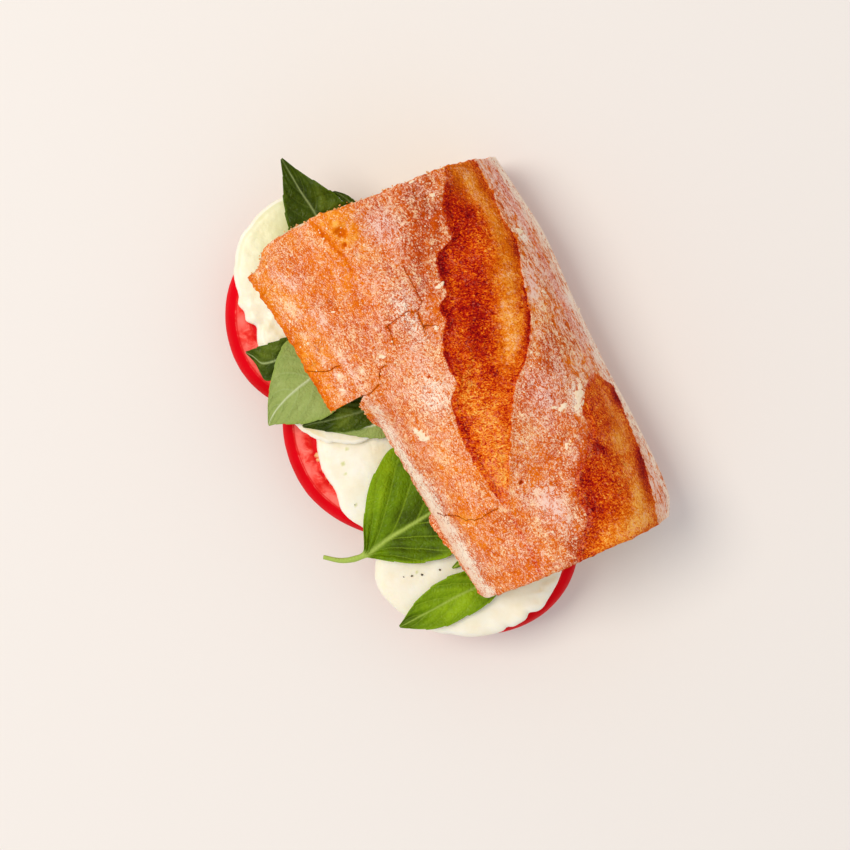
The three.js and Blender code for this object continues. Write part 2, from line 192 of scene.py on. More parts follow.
def makePiece(name, node, material, points, faces, masks=None, finishOf=None):
    # a smooth mesh that stands for one CAD node; points are in layout millimetres
    mesh = bpy.data.meshes.new(name)
    mesh.from_pydata(((points + shift) / 1000).tolist(), [], faces)
    for mask, values in (masks or {}).items():
        mesh.attributes.new(mask, "FLOAT", "POINT").data.foreach_set("value", np.asarray(values, np.float32))
    for finish in material if isinstance(material, list) else [material]:
        mesh.materials.append(finish)
    if finishOf is not None:
        mesh.polygons.foreach_set("material_index", np.asarray(finishOf, np.int32))
    mesh.polygons.foreach_set("use_smooth", np.ones(len(mesh.polygons), bool))
    piece = bpy.data.objects.new(name, mesh)
    bpy.context.scene.collection.objects.link(piece)
    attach(piece, "root")
    if node:
        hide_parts(node)


def outward(points, faces):
    # faces of a closed body turned so that their normals point out
    corners = np.array([face[:3] for face in faces])
    a, b, c = (points[corners[:, i]] for i in range(3))
    volume = np.einsum("ij,ij->i", a, np.cross(b, c)).sum()
    return faces if volume > 0 else [face[::-1] for face in faces]


# heights of the layers, as in the CAD
layers = {
    "touchGap": 0.3,
    "tomatoFloor": 20.3,
    "tomatoThick": 5.5,
    "mozzarellaFloor": 26.1,
    "mozzarellaTop": 32.2,
    "toppingFloor": 32.5,
    "toppingTop": 34.8,
    "leafRise": 0.35,
    "leafThick": 0.6,
}
# the upper bread is propped open: its underside rises towards the front from a line along the back
tilt = {"height": 20.3, "slope": 0.195, "hinge": 63.3, "skew": 0.079}


def underside(x, y):
    return tilt["height"] + tilt["slope"] * (tilt["hinge"] - tilt["skew"] * x - y)


leftEnd = through([
    [-33.5, -64.2], [-28.6, -65], [-24.6, -68.2], [-14, -69.6], [-2, -67.6], [18, -63.6], [45, -59.4],
    [64, -55.6],
])
rightEnd = through([[-21, 77], [-8, 77.5], [12, 80], [30, 82.8], [44, 86.4], [50, 88.6]])
backEdge = through([
    [-55, 64.2], [-39, 64.7], [-22, 64.8], [4, 61.5], [30, 58.9], [53, 57.6], [81, 54.2], [89, 49.5],
])


def alongLoaf(u, y):
    return mix(leftEnd(y), rightEnd(y), u)


def meet(line, u):
    # where a line y(x) crosses the sections at shares u of the loaf's length
    y = line(alongLoaf(u, 0))
    for _ in range(8):
        y = line(alongLoaf(u, y))
    return y


def frontOf(u):
    # the same for the front edge, which is too steep for that at the torn step, so its stretch is halved
    low, high = -37 + 0 * u, -18 + 0 * u
    for _ in range(16):
        middle = (low + high) / 2
        within = middle > frontEdge(alongLoaf(u, middle))
        low, high = np.where(within, low, middle), np.where(within, middle, high)
    # the right corner is rounded off
    fromEnd = np.clip((1 - u) * crust["length"] / 3, 0, 1)
    return high + 2.2 * (1 - np.sqrt(1 - (1 - fromEnd) ** 2))


def sideEdge(x):
    return -22.6 + 0.8 * np.sin(x / 17 + 1.1)


def flapEdge(x):
    return -33.4 + 0.4 * np.sin(x / 9)


def flapShare(x):
    # the squashed flap ends in a torn step
    return 1 - ease(-8.5, -7.4, x)


def frontEdge(x):
    bulge = -1.6 * ease(41, 41.8, x) * (1 - ease(48, 60, x)) - 1.6 * ease(-6.8, -4, x) * (1 - ease(1, 6, x))
    bulge = bulge + 1.8 * np.exp(-((x + 7.3) / 0.7) ** 2)
    ragged = 0.35 * lumps(x, 0 * x, 2.3, 11) + 0.25 * lumps(x, 0 * x, 0.9, 12)
    return mix(sideEdge(x) + bulge, flapEdge(x), flapShare(x)) + ragged


# the two openings torn where the loaf was scored, each between a near and a far lip
firstNear = through([
    [-60, 45], [-50, 37.7], [-38, 33.8], [-34.5, 27.5], [-20, 19.6], [0, 12], [15, 3.8], [31, 0], [52, 0.6],
    [80, -1],
])
firstFar = through([
    [-58, 56.3], [-38, 54], [-23, 52.8], [-3, 44.5], [9, 35.5], [24, 20.8], [44, 6.8], [53, 2.3], [80, 0.5],
])
secondNear = through([
    [-57, 60.2], [-20, 58.2], [10, 54.4], [27, 51.5], [35, 44], [44.5, 41.5], [54, 29], [70, 22], [79, 13.4],
])
secondFar = through([
    [-57, 61.7], [-20, 60], [10, 56.2], [27, 53], [38, 57], [52, 54.4], [63, 52.3], [76, 48], [84, 44.5],
])

# how far the torn lips wander from those lines, and how deep they stand over the opening
firstNearStep = through([
    [-60, 0.5], [-56, 1.8], [-50, 1], [-42, -0.2], [-37.5, 1.4], [-35, -0.8], [-27, 0.6], [-22, 2],
    [-19.6, -0.9], [-14, 0.2], [-10, -1.8], [-5, -2.8], [0, -2.1], [6, 0.4], [9.5, -1.5], [14, -0.9],
    [22, -0.4], [30, 0.3], [80, 0],
])
firstFarStep = through([
    [-60, -0.8], [-50, 0.3], [-42, 0.6], [-35, -0.7], [-25, 0.1], [-18, -0.9], [-5, -0.7], [1, 0.4],
    [12, 0.3], [16, -1], [30, 0],
])
secondNearStep = through([
    [-60, 0], [28, 0], [34, -0.8], [38, -1.6], [44, -2.2], [49, -0.4], [55, -1.6], [62, -1.2], [69, 0.6],
    [74, -1.4], [80, -1],
])
lipDepth = through([
    [-60, 0.2], [-50, 0.3], [-43, 0.9], [-38, 0.6], [-34, 1], [-26, 0.9], [-22, 0.6], [-18, 0.9], [-12, 0.4],
    [-6, 0.9], [-2, 0.7], [3, 0.2], [14, 0.2], [20, 0.35], [30, 0.3], [48, 0.5], [54, 0.8], [60, 0.4],
    [72, 0.9], [80, 0.3],
])
leftNotches = through([
    [-34, 0.4], [-28, 0.7], [-26.4, 1], [-25, -0.5], [-23.5, -0.8], [-17.5, 0.7], [-12, 1.3], [-8, 1.5],
    [-4.5, 0], [-1, -0.3], [3, 0.4], [9, 0], [17, 0.5], [26, -0.2], [38, 0.3], [45, 0],
])

crust = {
    "length": 145,
    "crown": 34,
    "rimThick": 3.2,
    "sideReach": 42,
    "flapJoin": 14,
    "backReach": 30,
    "stations": 300,
    "lipWander": 0.3,
    "skinColumns": 84,
    "firstColumns": 50,
    "betweenColumns": 40,
    "secondColumns": 26,
    "backColumns": 24,
    "undersideColumns": 78,
    "capRings": 52,
    "skinThick": 1.7,
    "cracks": [
        [(-7.6, -21), (-7.1, -18.3), (-7.1, -15.6), (-7.9, -13.8)],
        [(-9.4, -12.6), (-11.5, -11.2), (-12.9, -7.8)],
        [(-25.5, -33), (-22.8, -29.3), (-21.3, -27), (-21.4, -24.3), (-20.8, -22.4)],
        [
            (-37, 14.3), (-31, 14), (-26.6, 14.1), (-24.4, 13.5), (-22.3, 10.9), (-18.7, 9.9), (-16.7, 10.2),
            (-14.4, 8.8),
        ],
        [(-22.3, 10.9), (-23.4, 7.9), (-23.1, 3.5), (-22.9, -0.2), (-20.5, -0.4), (-17, -1.9)],
        [(-16.7, 10.2), (-15.2, 13.1), (-13.8, 14.2)],
        [(41.2, -20.6), (43.4, -19), (45.4, -14.8), (47.8, -13.5), (49.8, -8.4), (48.8, -3.6), (49.4, -1)],
    ],
    # x, y, radius, depth
    "holes": [(-58.2, 3.2, 2.4, 1.6), (-54.2, 1.6, 0.8, 0.7), (45.9, 10.3, 0.65, 0.8), (-1.2, 2.4, 0.4, 0.5)],
    "crease": [(-66.4, -3.9), (-60, -2.6), (-55, -1.8), (-51, -0.8), (-47, -0.6), (-43, -2.2), (-38, -1)],
    "fold": [
        (-60, -25), (-54, -22.2), (-44, -21.8), (-34.5, -19.6), (-24.7, -20.4), (-16, -19.4), (-9.5, -19),
    ],
}


def frontRise(x, y):
    inward = y - sideEdge(x)
    dome = 1 - (1 - np.clip(inward / crust["sideReach"], 0, 1)) ** 3
    atJoin = 1 - (1 - crust["flapJoin"] / crust["sideReach"]) ** 3
    edge = flapEdge(x)
    slope = atJoin * np.clip((y - edge) / (sideEdge(x) + crust["flapJoin"] - edge), 0, 1)
    # beyond the torn step the crust comes down to the side's level little by little
    return np.where(inward >= crust["flapJoin"], dome, mix(dome, slope, 1 - ease(-9, 10, x)))


def crustHeight(x, y):
    front = frontRise(x, y)
    back = 1 - (1 - np.clip((backEdge(x) - y) / crust["backReach"], 0, 1)) ** 2.6
    swell = 0.8 * np.sin(x / 11 + 1.3) * np.sin(y / 13 - 0.6) + 0.4 * np.sin(x / 5.3 + y / 7.1)
    return crust["crown"] * front * back + swell * np.minimum(front, back)


def opened(width):
    return np.clip((width - 1.5) / 6, 0, 1)


def cutDepth(share, width):
    return opened(width) * (0.35 + 0.55 * np.clip(1 - share, 0, 1) ** 0.8)


# profile of the near lip, a thin torn skin over the opening: (mm across, mm up)
nearLip = [(0, 0.14), (0.2, 0.1), (0.4, -0.02), (0.6, -0.2), (0.9, -0.4), (1.4, -0.62), (2.0, -0.87)]


def acrossTop(u):
    # columns of one side of the crust: y, depth of cut, share across an opening (-1 outside), which opening
    front = frontOf(u)
    wander = crust["lipWander"]
    xMiddle = alongLoaf(u, 20)

    def lip(line, seed, steps=None):
        y = meet(line, u)
        return y + wander * rough(xMiddle, 0 * u, 2.4, seed) + (steps(alongLoaf(u, y)) if steps else 0)

    near1 = lip(firstNear, 21, firstNearStep)
    far1 = np.maximum(lip(firstFar, 31, firstFarStep), near1 + 1.5)
    near2 = np.maximum(lip(secondNear, 41, secondNearStep), far1 + 2)
    far2 = np.maximum(lip(secondFar, 51), near2 + 1.5)
    back = meet(backEdge, u)
    columns = []

    def skin(low, high, count, power=1.0, lowWidth=None, highWidth=None):
        for step in range(count):
            share = (step / count) ** power
            y = mix(low, high, share)
            lift = 0 * u
            if lowWidth is not None:
                lift = lift + 0.45 * opened(lowWidth) * np.exp(-((y - low) / 0.9) ** 2)
            if highWidth is not None:
                lift = lift + 0.28 * opened(highWidth) * np.exp(-((high - y) / 1.6) ** 2)
            columns.append((y, -lift, -1 + 0 * u, 0))

    def opening(low, high, count, number):
        width = high - low
        # the second opening has hardly any lip
        deep = lipDepth(alongLoaf(u, low)) * (1 if number == 1 else 0.4)
        for across, up in nearLip:
            grow = opened(width)
            shareHere = np.minimum(across / width, 0.2)
            columns.append((low + across * grow, -up * grow * deep, 0 * shareHere, number))
        start = np.minimum(2.0 / width, 0.25)
        for step in range(count - len(nearLip)):
            share = mix(start, 1 - 0.5 / width, step / (count - len(nearLip) - 1))
            fromLip = np.exp(-((share * width - 2) / 3) ** 2)
            cut = cutDepth(share, width) * mix(1, deep, fromLip)
            columns.append((mix(low, high, share), cut, share, number))

    skin(front, near1, crust["skinColumns"], 1.35, highWidth=far1 - near1)
    opening(near1, far1, crust["firstColumns"], 1)
    skin(far1, near2, crust["betweenColumns"], 1, far1 - near1, far2 - near2)
    opening(near2, far2, crust["secondColumns"], 2)
    for step in range(crust["backColumns"] + 1):
        share = 1 - (1 - step / crust["backColumns"]) ** 1.4
        y = mix(far2, back, share)
        lift = 0.45 * opened(far2 - near2) * np.exp(-((y - far2) / 0.9) ** 2)
        columns.append((y, -lift, -1 + 0 * u, 0))
    return [np.array([column[i] + 0 * u for column in columns]).T for i in range(4)]


def wrinkled(line):
    return [(px + 0.5 * math.sin(3 * py), py + 0.4 * math.sin(2 * px)) for px, py in line]


def crustRelief(x, y, share):
    # low relief in mm: floury skin outside the openings, wrinkles and blisters inside them
    skin = 0.08 * rough(x, y, 1.2, 61) + 0.2 * rough(x, y, 4.2, 71, 2)
    lengthwise = 0.24 * rough(x / 5, y, 1.4, 81, 3)
    steep = np.maximum(1 - ease(4, 13, y - sideEdge(x)), 1 - ease(3, 12, backEdge(x) - y))
    skin = skin + lengthwise * steep * (1 - flapShare(x))
    wrinkle = 0.3 * (0.5 - np.abs(rough(x, y * 1.3, 1.9, 91, 3)))
    blister = 0.3 * rough(x, y, 5, 95, 2) + wrinkle + 0.1 * rough(x, y, 0.9, 101)
    relief = np.where(share >= 0, blister * np.clip(share * 8, 0, 1), skin)
    for line in crust["cracks"]:
        relief = relief - 0.15 * np.clip(1 - distanceTo(x, y, wrinkled(line)) / 0.5, 0, 1)
    for holeX, holeY, radius, depth in crust["holes"]:
        away = np.hypot(x - holeX, y - holeY) / radius
        relief = relief - depth * np.clip(1 - away ** 2, 0, 1) ** 0.7
    # the crease where the flap was pressed down
    crease = distanceTo(x, y, crust["crease"])
    relief = relief - 0.5 * np.exp(-(crease / 0.9) ** 2) * (1 - ease(-50, -36, x))
    return relief


def crackField(x, y):
    # signed distance in mm to the nearest crack, and 1 beside it fading to 0 away from it and past its ends
    side, near, best = np.full(x.shape, 2.0), np.zeros(x.shape), np.full(x.shape, 1e9)
    for line in crust["cracks"]:
        line = wrinkled(line)
        for number, ((ax, ay), (bx, by)) in enumerate(zip(line[:-1], line[1:])):
            dx, dy = bx - ax, by - ay
            length = math.hypot(dx, dy)
            t = ((x - ax) * dx + (y - ay) * dy) / length ** 2
            held = np.clip(t, 0, 1)
            away = np.hypot(x - ax - held * dx, y - ay - held * dy)
            signed = ((x - ax) * dy - (y - ay) * dx) / length
            past = np.zeros(x.shape)
            if number == 0:
                past = np.maximum(-t * length, past)
            if number == len(line) - 2:
                past = np.maximum((t - 1) * length, past)
            closer = away < best
            best = np.where(closer, away, best)
            side = np.where(closer, np.clip(signed, -2, 2), side)
            near = np.where(closer, (1 - ease(0.8, 1.3, away)) * (1 - ease(0, 0.5, past)), near)
    return side, near


# places on the crust: x, y, half length, half width, turn, change of bake, change of flour
skinPlaces = [
    (-56, -6, 22, 14, 0, -0.08, -0.06), (-38, -27, 34, 7, 0, -0.12, -0.12), (-50, 31, 12, 6, -15, 0.2, -0.24),
    (-41, 21, 8, 4.5, -20, 0.12, -0.2), (-28, 16.5, 4, 3, -20, 0.1, -0.3),
    (-19, 16, 5, 1.5, -20, -0.02, -0.4), (-52, 16.5, 6, 4, 0, 0, 0.34), (-52, 35.5, 3, 1.6, 0, 0, 0.5),
    (-57, 37, 3, 2, 0, 0.06, -0.3), (-27, 8, 13, 5, -8, 0, 0.26), (-6, 4, 9, 5, -15, 0, 0.24),
    (5, 2, 7, 8, 0, -0.02, 0.26), (9, -5, 8, 4, 0, 0, 0.16), (-16, -8, 3, 1.6, -30, 0, 0.3),
    (-40, -10, 22, 7, 0, -0.02, -0.1), (-45, -26, 5, 3, 0, 0, 0.26), (-14, -26, 5, 3, 0, 0, 0.16),
    (-22, -30, 12, 2.6, 0, -0.1, -0.3), (-58, -28, 5, 4, 0, -0.06, -0.2), (-46, -26.5, 2.4, 1.6, 0, 0, 0.5),
    (-36, -27.6, 1.7, 0.9, 0, 0, 0.9), (-30.6, -27.9, 1, 0.8, 0, 0, 0.8), (-24.3, -26.6, 1.1, 0.8, 0, 0, 0.9),
    (-17.7, -24.2, 1.7, 1.2, 20, 0, 1), (-12.2, -25.8, 2, 1.4, -45, 0, 0.8),
    (-15, -16.3, 2.2, 1.2, 20, 0, 0.8), (-36.5, -18.4, 2, 0.9, 0, 0, 0.8), (-6, -17.6, 1.7, 1, 0, 0, 0.6),
    (-3, -12.8, 2, 1, 0, 0, 0.5), (-34, -22, 26, 1.6, 0, -0.02, -0.2), (36, 22, 8, 5, -40, -0.04, 0.1),
    (-42, -12, 26, 9, 0, 0.03, -0.09), (66, -6, 14, 12, 0, 0, -0.1), (-30, -27, 22, 4, 0, 0, -0.1),
    (-42, 28, 16, 8, -20, 0, -0.08), (10, 59, 30, 5, 0, -0.04, 0.08), (30, -8, 14, 6, 0, -0.06, 0.04),
    (52, -11, 10, 5, 0, -0.12, -0.36), (47, -14, 5, 2, 0, -0.1, -0.2), (73, -7, 6, 8, 0, -0.02, -0.2),
    (42, 4, 12, 5, 0, -0.08, -0.16), (25, 33, 6, 6, -40, 0.02, 0.24), (13, 43, 8, 4, -30, 0.12, -0.22),
    (33, 25, 8, 4, -40, 0.0, 0.08), (43, 25, 7, 4, 0, -0.02, -0.2), (46, 16, 4, 6, 0, -0.04, -0.3),
    (58.5, 15.5, 10, 4.5, 15, 0, 0.6), (46, 30, 4, 2, -30, 0, 0.3), (47, 34, 6, 3, -40, 0.08, -0.1),
    (72, 14, 3, 3, -40, 0.12, -0.1), (-45, 59, 16, 4, 0, 0, 0.16), (-10, 49.6, 6, 2, -20, 0, 0.5),
    (-27, 56, 4, 2, 0, -0.05, 0.4), (12, 54, 16, 5, 0, 0.04, -0.12), (30, 43.5, 7, 2.4, -38, 0, 0.36),
    (33, 38, 5, 2.4, -40, 0, 0.2), (-62, 31, 3, 2.4, 0, 0, 0.16),
]
# the same inside the first opening and inside the second
firstPlaces = [
    (-39, 43.5, 7, 2.8, -5, 0.1, -0.1), (-46, 39, 8, 2, -30, 0.04, 0), (-31, 39, 4, 4, 30, -0.1, 0.04),
    (-18, 33.5, 5, 2.2, 35, 0.14, -0.1), (-12, 26, 10, 4.5, -15, 0.07, -0.06),
    # the darker patches at (-31, 26) and (-4, 11.2) are painted shade, where the near lip's shadow falls
    (-17, 19.5, 6, 1.8, -20, 0.1, -0.1), (-31, 26, 5, 1.6, -25, 0.12, -0.1),
    (-4, 11.2, 2.4, 1.1, 10, 0.16, 0), (-25, 28, 6, 3, -10, -0.02, 0.06), (-6, 17, 7, 3.5, -20, -0.1, 0.12),
    (5, 15, 8, 5, -30, -0.12, 0.08), (8.5, 22, 3, 1, 40, 0.16, 0), (-3, 25, 3, 1.2, 20, 0.12, 0),
    (-50, 49, 6, 2, -3, -0.16, 0.3), (-40, 50, 5, 1.6, -3, -0.12, 0.26), (-28, 46.5, 6, 1.8, -10, -0.08, 0.1),
    (-16.5, 43, 2.6, 4, -20, -0.16, 0.36), (-6, 37.5, 6, 3.6, -30, -0.2, 0.34),
    (4, 32.5, 8, 2.6, -42, -0.18, 0.34), (-23, 51.4, 6, 1.7, -12, 0.22, -0.1),
    (-8, 46.2, 5, 0.9, -25, 0.3, -0.1), (2, 41, 8, 1.3, -40, 0.36, -0.1), (12, 33, 4, 0.8, -50, 0.2, -0.1),
    (-47, 54, 12, 1.1, -3, 0.1, -0.1), (-58, 47, 3, 3, 0, -0.1, 0), (-47, 48.5, 11, 3, -5, -0.07, 0.04),
    (15, 11, 9, 7, -20, -0.18, 0.06), (30, 8, 14, 6, -12, -0.24, 0.24), (43, 4, 10, 3.5, 0, -0.18, 0.35),
    (21, 15, 6, 2.5, -45, -0.08, 0.16), (24, 3, 9, 1.4, -4, 0.1, 0),
]
secondPlaces = [
    (51.5, 39.8, 3, 1.2, 20, 0.34, -0.1), (64, 27, 10, 3, -22, 0.14, 0), (59, 33, 4, 5, 0, 0.06, 0.04),
    (41, 55.8, 6, 1.7, -4, 0.4, -0.1), (66, 49.8, 8, 2.2, -20, 0.46, -0.1), (74, 21, 4, 3, -40, 0.1, 0),
    (62, 44.5, 5, 1.6, -30, -0.12, 0.24), (48.5, 42.6, 2.6, 1.2, 20, -0.1, 0.34),
    (49, 51.6, 4, 1.2, -15, -0.14, 0.34), (79, 28, 5, 10, 0, -0.2, 0.1), (40, 51.5, 6, 1.1, -8, -0.16, 0.36),
    (53, 46.5, 4, 3, -20, -0.22, 0.24), (72, 42.5, 8, 2.4, -20, -0.16, 0.26), (81, 38, 3, 6, 0, -0.2, 0.26),
    (57, 48, 1, 4, 0, -0.1, 0.2), (36, 47, 6, 3, -30, -0.06, 0.08),
]
# golden-brown places: x, y, half length, half width, turn, amount
goldPlaces = [
    (-58.2, 3.2, 1.9, 2.2, 0, 1), (-62, 4, 8, 6, 0, 0.5), (-66, -18, 3, 12, 0, 0.35),
    (-55, 48, 9, 4.5, -8, 0.9), (-42, 50.5, 13, 2.6, -3, 0.8), (-27, 48, 9, 3.6, -10, 0.7),
    (-17, 43, 7, 5, -25, 0.8), (-5, 37, 10, 4.5, -32, 0.85), (5, 31, 9, 4, -42, 0.7),
    (53, 47.5, 5, 3.5, -20, 0.7), (72, 43, 10, 3.4, -18, 0.7), (78, 33, 6, 11, 0, 0.65),
    (46, 50, 8, 2, -15, 0.4), (-56, 33, 7, 5, 0, 0.3), (-58, -31.5, 14, 2, 0, 0.3),
]
# greyish and creamy dustings of flour: x, y, half length, half width, turn
coolPlaces = [
    (-44, 60, 20, 5, 0), (-10, 50, 8, 3, -20), (24, 33, 9, 7, -40), (60, 15, 10, 5, 0), (-52, 16, 8, 6, 0),
    (10, 58, 40, 4, 0), (76, 52, 14, 5, -10),
]
# the creamy ones along the front side also whiten it as painted light
creamPlaces = [
    (34, -18.4, 9, 2.8, 0), (64, -18.6, 17, 2.6, 0), (15, -19.8, 14, 2.4, 0), (-22, 7, 10, 4, 0),
    (4, 0, 8, 6, 0), (32, 42, 5, 3, -30), (-26, 56, 4, 2, 0),
]


def crustTone(x, y, share, width, number):
    # bake runs from pale gold (0) over orange and brown to burnt (1); flour is the part of the skin it covers
    bake = 0.48 + 0.06 * rough(x, y, 9, 111, 2)
    flour = 0.5 + 0.14 * rough(x, y, 5, 121, 3)
    for px, py, halfLong, halfWide, turn, baked, floured in skinPlaces:
        amount = spot(x, y, px, py, halfLong, halfWide, turn)
        bake, flour = bake + baked * amount, flour + floured * amount
    # a white floured band along the steep front side, made whiter than its flour alone as painted light
    inFront = y - sideEdge(x)
    streak = rough(x / 5, y, 1.6, 127, 3)
    widens = ease(20, 44, x)
    patchy = 0.7 * rough(x, y, 3.4, 137, 3)
    side = ease(0, 1.4, inFront) * (1 - ease(mix(1.8, 3.4, widens), mix(4.6, 6.4, widens), inFront - patchy))
    side = side * (1 - flapShare(x)) * (0.6 + 0.4 * ease(10, 26, x))
    flour = flour + (0.85 + 0.2 * streak + 0.3 * patchy) * side
    flour = flour + (0.26 + 0.3 * streak) * (1 - ease(3, 12, backEdge(x) - y))
    # the flour lies thicker and in patches towards the back, thickest along its edge, where its whiteness is
    # also a painted rim light
    toBack = ease(4, 24, y)
    rim = 1 - ease(1, 4.5, backEdge(x) - y)
    flour = flour - 0.02 * toBack + 0.1 * ease(34, 46, y) + 0.5 * rim
    bake = bake + 0.05 * toBack - 0.08 * ease(34, 50, y)
    # towards the second opening the flour thins out
    besideSecond = np.exp(-((secondNear(x) + secondNearStep(x) - y) / 3) ** 2) * ease(36, 46, x)
    flour, bake = flour - 0.34 * besideSecond, bake + 0.1 * besideSecond
    # a pale line where the flap folds, and its browned edge
    fold = np.exp(-(distanceTo(x, y, crust["fold"]) / 1.5) ** 2) * np.clip(0.6 + 0.8 * streak, 0, 1.2)
    flour = flour + 0.55 * fold
    edgeBand = (1 - ease(0.8, 3.5, y - frontEdge(x))) * flapShare(x)
    flour, bake = flour - 0.6 * edgeBand, bake + 0.03 * edgeBand
    # the hole and the bare crust round it
    holeX, holeY = crust["holes"][0][:2]
    bare = np.clip(1.4 - np.hypot((x - holeX + 3) / 1.6, y - holeY) / 5, 0, 1)
    for px, py, radius, _ in crust["holes"][1:]:
        dark = np.exp(-(np.hypot(x - px, y - py) / radius) ** 4)
        flour, bake = flour - 2 * dark, bake + 0.4 * dark
    bare = bare * (1 + 0.5 * rough(x, y, 2.2, 151))
    deep = np.clip(1.5 * spot(x, y, holeX, holeY, 2.2, 1.8, 30) + 0.5 * rough(x, y, 1.3, 157) - 0.25, 0, 1)
    deep = deep * (np.hypot(x - holeX, y - holeY) < 4.5)
    flour, bake = flour - 0.7 * bare - deep, bake - (0.2 + 0.14 * rough(x, y, 1.5, 159)) * bare + 0.36 * deep
    crease = distanceTo(x, y, crust["crease"])
    line = np.exp(-(crease / mix(0.8, 0.5, ease(-62, -48, x))) ** 2) * (1 - 0.8 * ease(-50, -42, x))
    flour, bake = flour - 1.3 * line, bake + 0.13 * line
    inside = share >= 0
    for which, places, dark, light in ((1, firstPlaces, 0.58, 0.42), (2, secondPlaces, 0.5, 0.37)):
        tone = mix(dark, light, ease(0.3, 0.85, share)) + 0.06 * rough(x, y, 4, 131, 3)
        dust = -0.24 + 0.12 * rough(x, y, 3, 141, 3)
        for px, py, halfLong, halfWide, turn, baked, floured in places:
            amount = spot(x, y, px, py, halfLong, halfWide, turn)
            tone, dust = tone + baked * amount, dust + (1.5 if floured > 0 else 1) * floured * amount
        if which == 2:
            dust = dust + 0.5 * np.exp(-(share * width / 2.2) ** 2) * ease(36, 46, x)
        fromFar = (1 - share) * width
        tone = tone + 0.04 * (1 - ease(0.5, 1.6, fromFar))
        # darker just inside the near lip of the first opening: deeper crimson crust, and painted shade from the
        # lip
        tone = tone + 0.06 * np.exp(-(share * width / 3) ** 2) * (1 - ease(-16, -4, x))
        here = inside & (number == which)
        narrow = 1 - opened(width)
        bake = np.where(here, mix(tone, bake, narrow), bake)
        flour = np.where(here, mix(dust, flour, narrow), flour)
    gold = sum(amount * spot(x, y, *where) for *where, amount in goldPlaces) + np.where(inside, 0, 0.55)
    cool = sum(spot(x, y, *where) for where in coolPlaces) + 0.5 * fold + 0.4 * side
    # cream: real creamy flour, and painted light on the front side and along the back edge
    creamFlourAndLight = sum(spot(x, y, *where) for where in creamPlaces) + 0.25 * side + 0.8 * rim
    # coarse flakes towards the back, and in the white patch on the right
    flaked = 0.3 * toBack + 1.3 * ease(38, 50, y) + 0.9 * spot(x, y, 58.5, 15.5, 11, 6, 15)
    return {
        "bake": bake,
        "flour": flour,
        "cool": np.clip(cool, 0, 1),
        "creamFlourAndLight": np.clip(creamFlourAndLight, 0, 1),
        "gold": np.clip(gold, 0, 1),
        "coarse": np.where(inside, 0, flaked),
    }


def airHoles(a, b, holes):
    # depth in mm of round holes cut open on a face; holes is rows of centre and radius
    depth = np.zeros(np.shape(a))
    for centreA, centreB, radius in holes:
        away = ((a - centreA) ** 2 + (b - centreB) ** 2) / radius ** 2
        depth = np.maximum(depth, radius * 0.85 * np.sqrt(np.clip(1 - away, 0, 1)))
    return depth


def scatterHoles(lowA, highA, lowB, highB, count, seed):
    # mostly small holes and a few large ones, as in an open crumb
    rng = np.random.default_rng(seed)
    radius = 0.45 + 2.3 * rng.random(count) ** 3.2
    return np.stack([rng.uniform(lowA, highA, count), rng.uniform(lowB, highB, count), radius], 1)


def closedLoaf(sections, rings, endHoles, crumb):
    # a tube of sections (stations, columns, xyz) with both cut ends filled by rings of points
    stations, columns, _ = sections.shape
    points = [sections.reshape(-1, 3)]
    index = np.arange(stations * columns).reshape(stations, columns)
    following = np.roll(index, -1, axis=1)
    quads = [np.stack([index[:-1], following[:-1], following[1:], index[1:]], -1).reshape(-1, 4)]
    triangles = []
    fromBorder = [np.full(stations * columns, -1.0)]
    depths = [np.zeros(stations * columns)]
    total = stations * columns
    for side, border, holes in ((0, 0, endHoles[0]), (1, stations - 1, endHoles[1])):
        edge = sections[border]
        middle = (edge.max(0) + edge.min(0)) / 2
        # the columns crowd together at the lips, so further in they slide to more even places
        legs = np.hypot(*np.diff(np.vstack([edge, edge[:1]])[:, 1:], axis=0).T)
        reach = columns // 7
        around = np.concatenate([legs[-reach:], legs, legs[:reach]])
        evened = np.convolve(around, np.ones(2 * reach + 1), "valid")
        placeOf = np.concatenate([[0], np.cumsum(legs)])
        evenPlace = np.concatenate([[0], np.cumsum(evened)[:-1]]) * placeOf[-1] / evened.sum()
        loop = np.stack([edge[:, 1], edge[:, 2], edge[:, 0] - alongLoaf(side, edge[:, 1]), crumb[border]])
        loop = np.concatenate([loop, loop[:, :1]], 1)
        last = index[border]
        for ring in range(1, rings + 1):
            share = ring / rings
            at = mix(placeOf[:-1], evenPlace, ease(0.02, 0.3, share))
            edgeY, edgeZ, offset, sliced = (np.interp(at, placeOf, values) for values in loop)
            y, z = mix(edgeY, middle[1], share), mix(edgeZ, middle[2], share)
            away = share * np.hypot(edgeY - middle[1], edgeZ - middle[2])
            inner = ease(1.2, 3, away)
            uneven = 0.25 * rough(y, z, 1.6, 151 + side) + 0.12 * rough(y, z, 0.7, 161)
            depth = airHoles(y, z, holes) * inner + uneven * ease(0.4, 2, away)
            ragged = mix(offset, 0, ease(0, 3, away))
            x = alongLoaf(side, y) + ragged + (depth if side == 0 else -depth)
            if ring == rings:
                x, y, z, away, depth = (np.array([v.mean()]) for v in (x, y, z, away, depth))
            points.append(np.stack([x, y, z], 1))
            fromBorder.append(away + 4 * (sliced if ring < rings else 1))
            depths.append(depth)
            turned = slice(None, None, 1 if side else -1)
            if ring < rings:
                now = np.arange(total, total + columns)
                quads.append(np.stack([last, np.roll(last, -1), np.roll(now, -1), now], -1)[:, turned])
                last = now
                total += columns
            else:
                centre = np.full(columns, total)
                triangles.append(np.stack([last, np.roll(last, -1), centre], -1)[:, turned])
                total += 1
    faces = [face for group in quads + triangles for face in group.tolist()]
    points = np.concatenate(points)
    return points, outward(points, faces), np.concatenate(fromBorder), np.concatenate(depths)


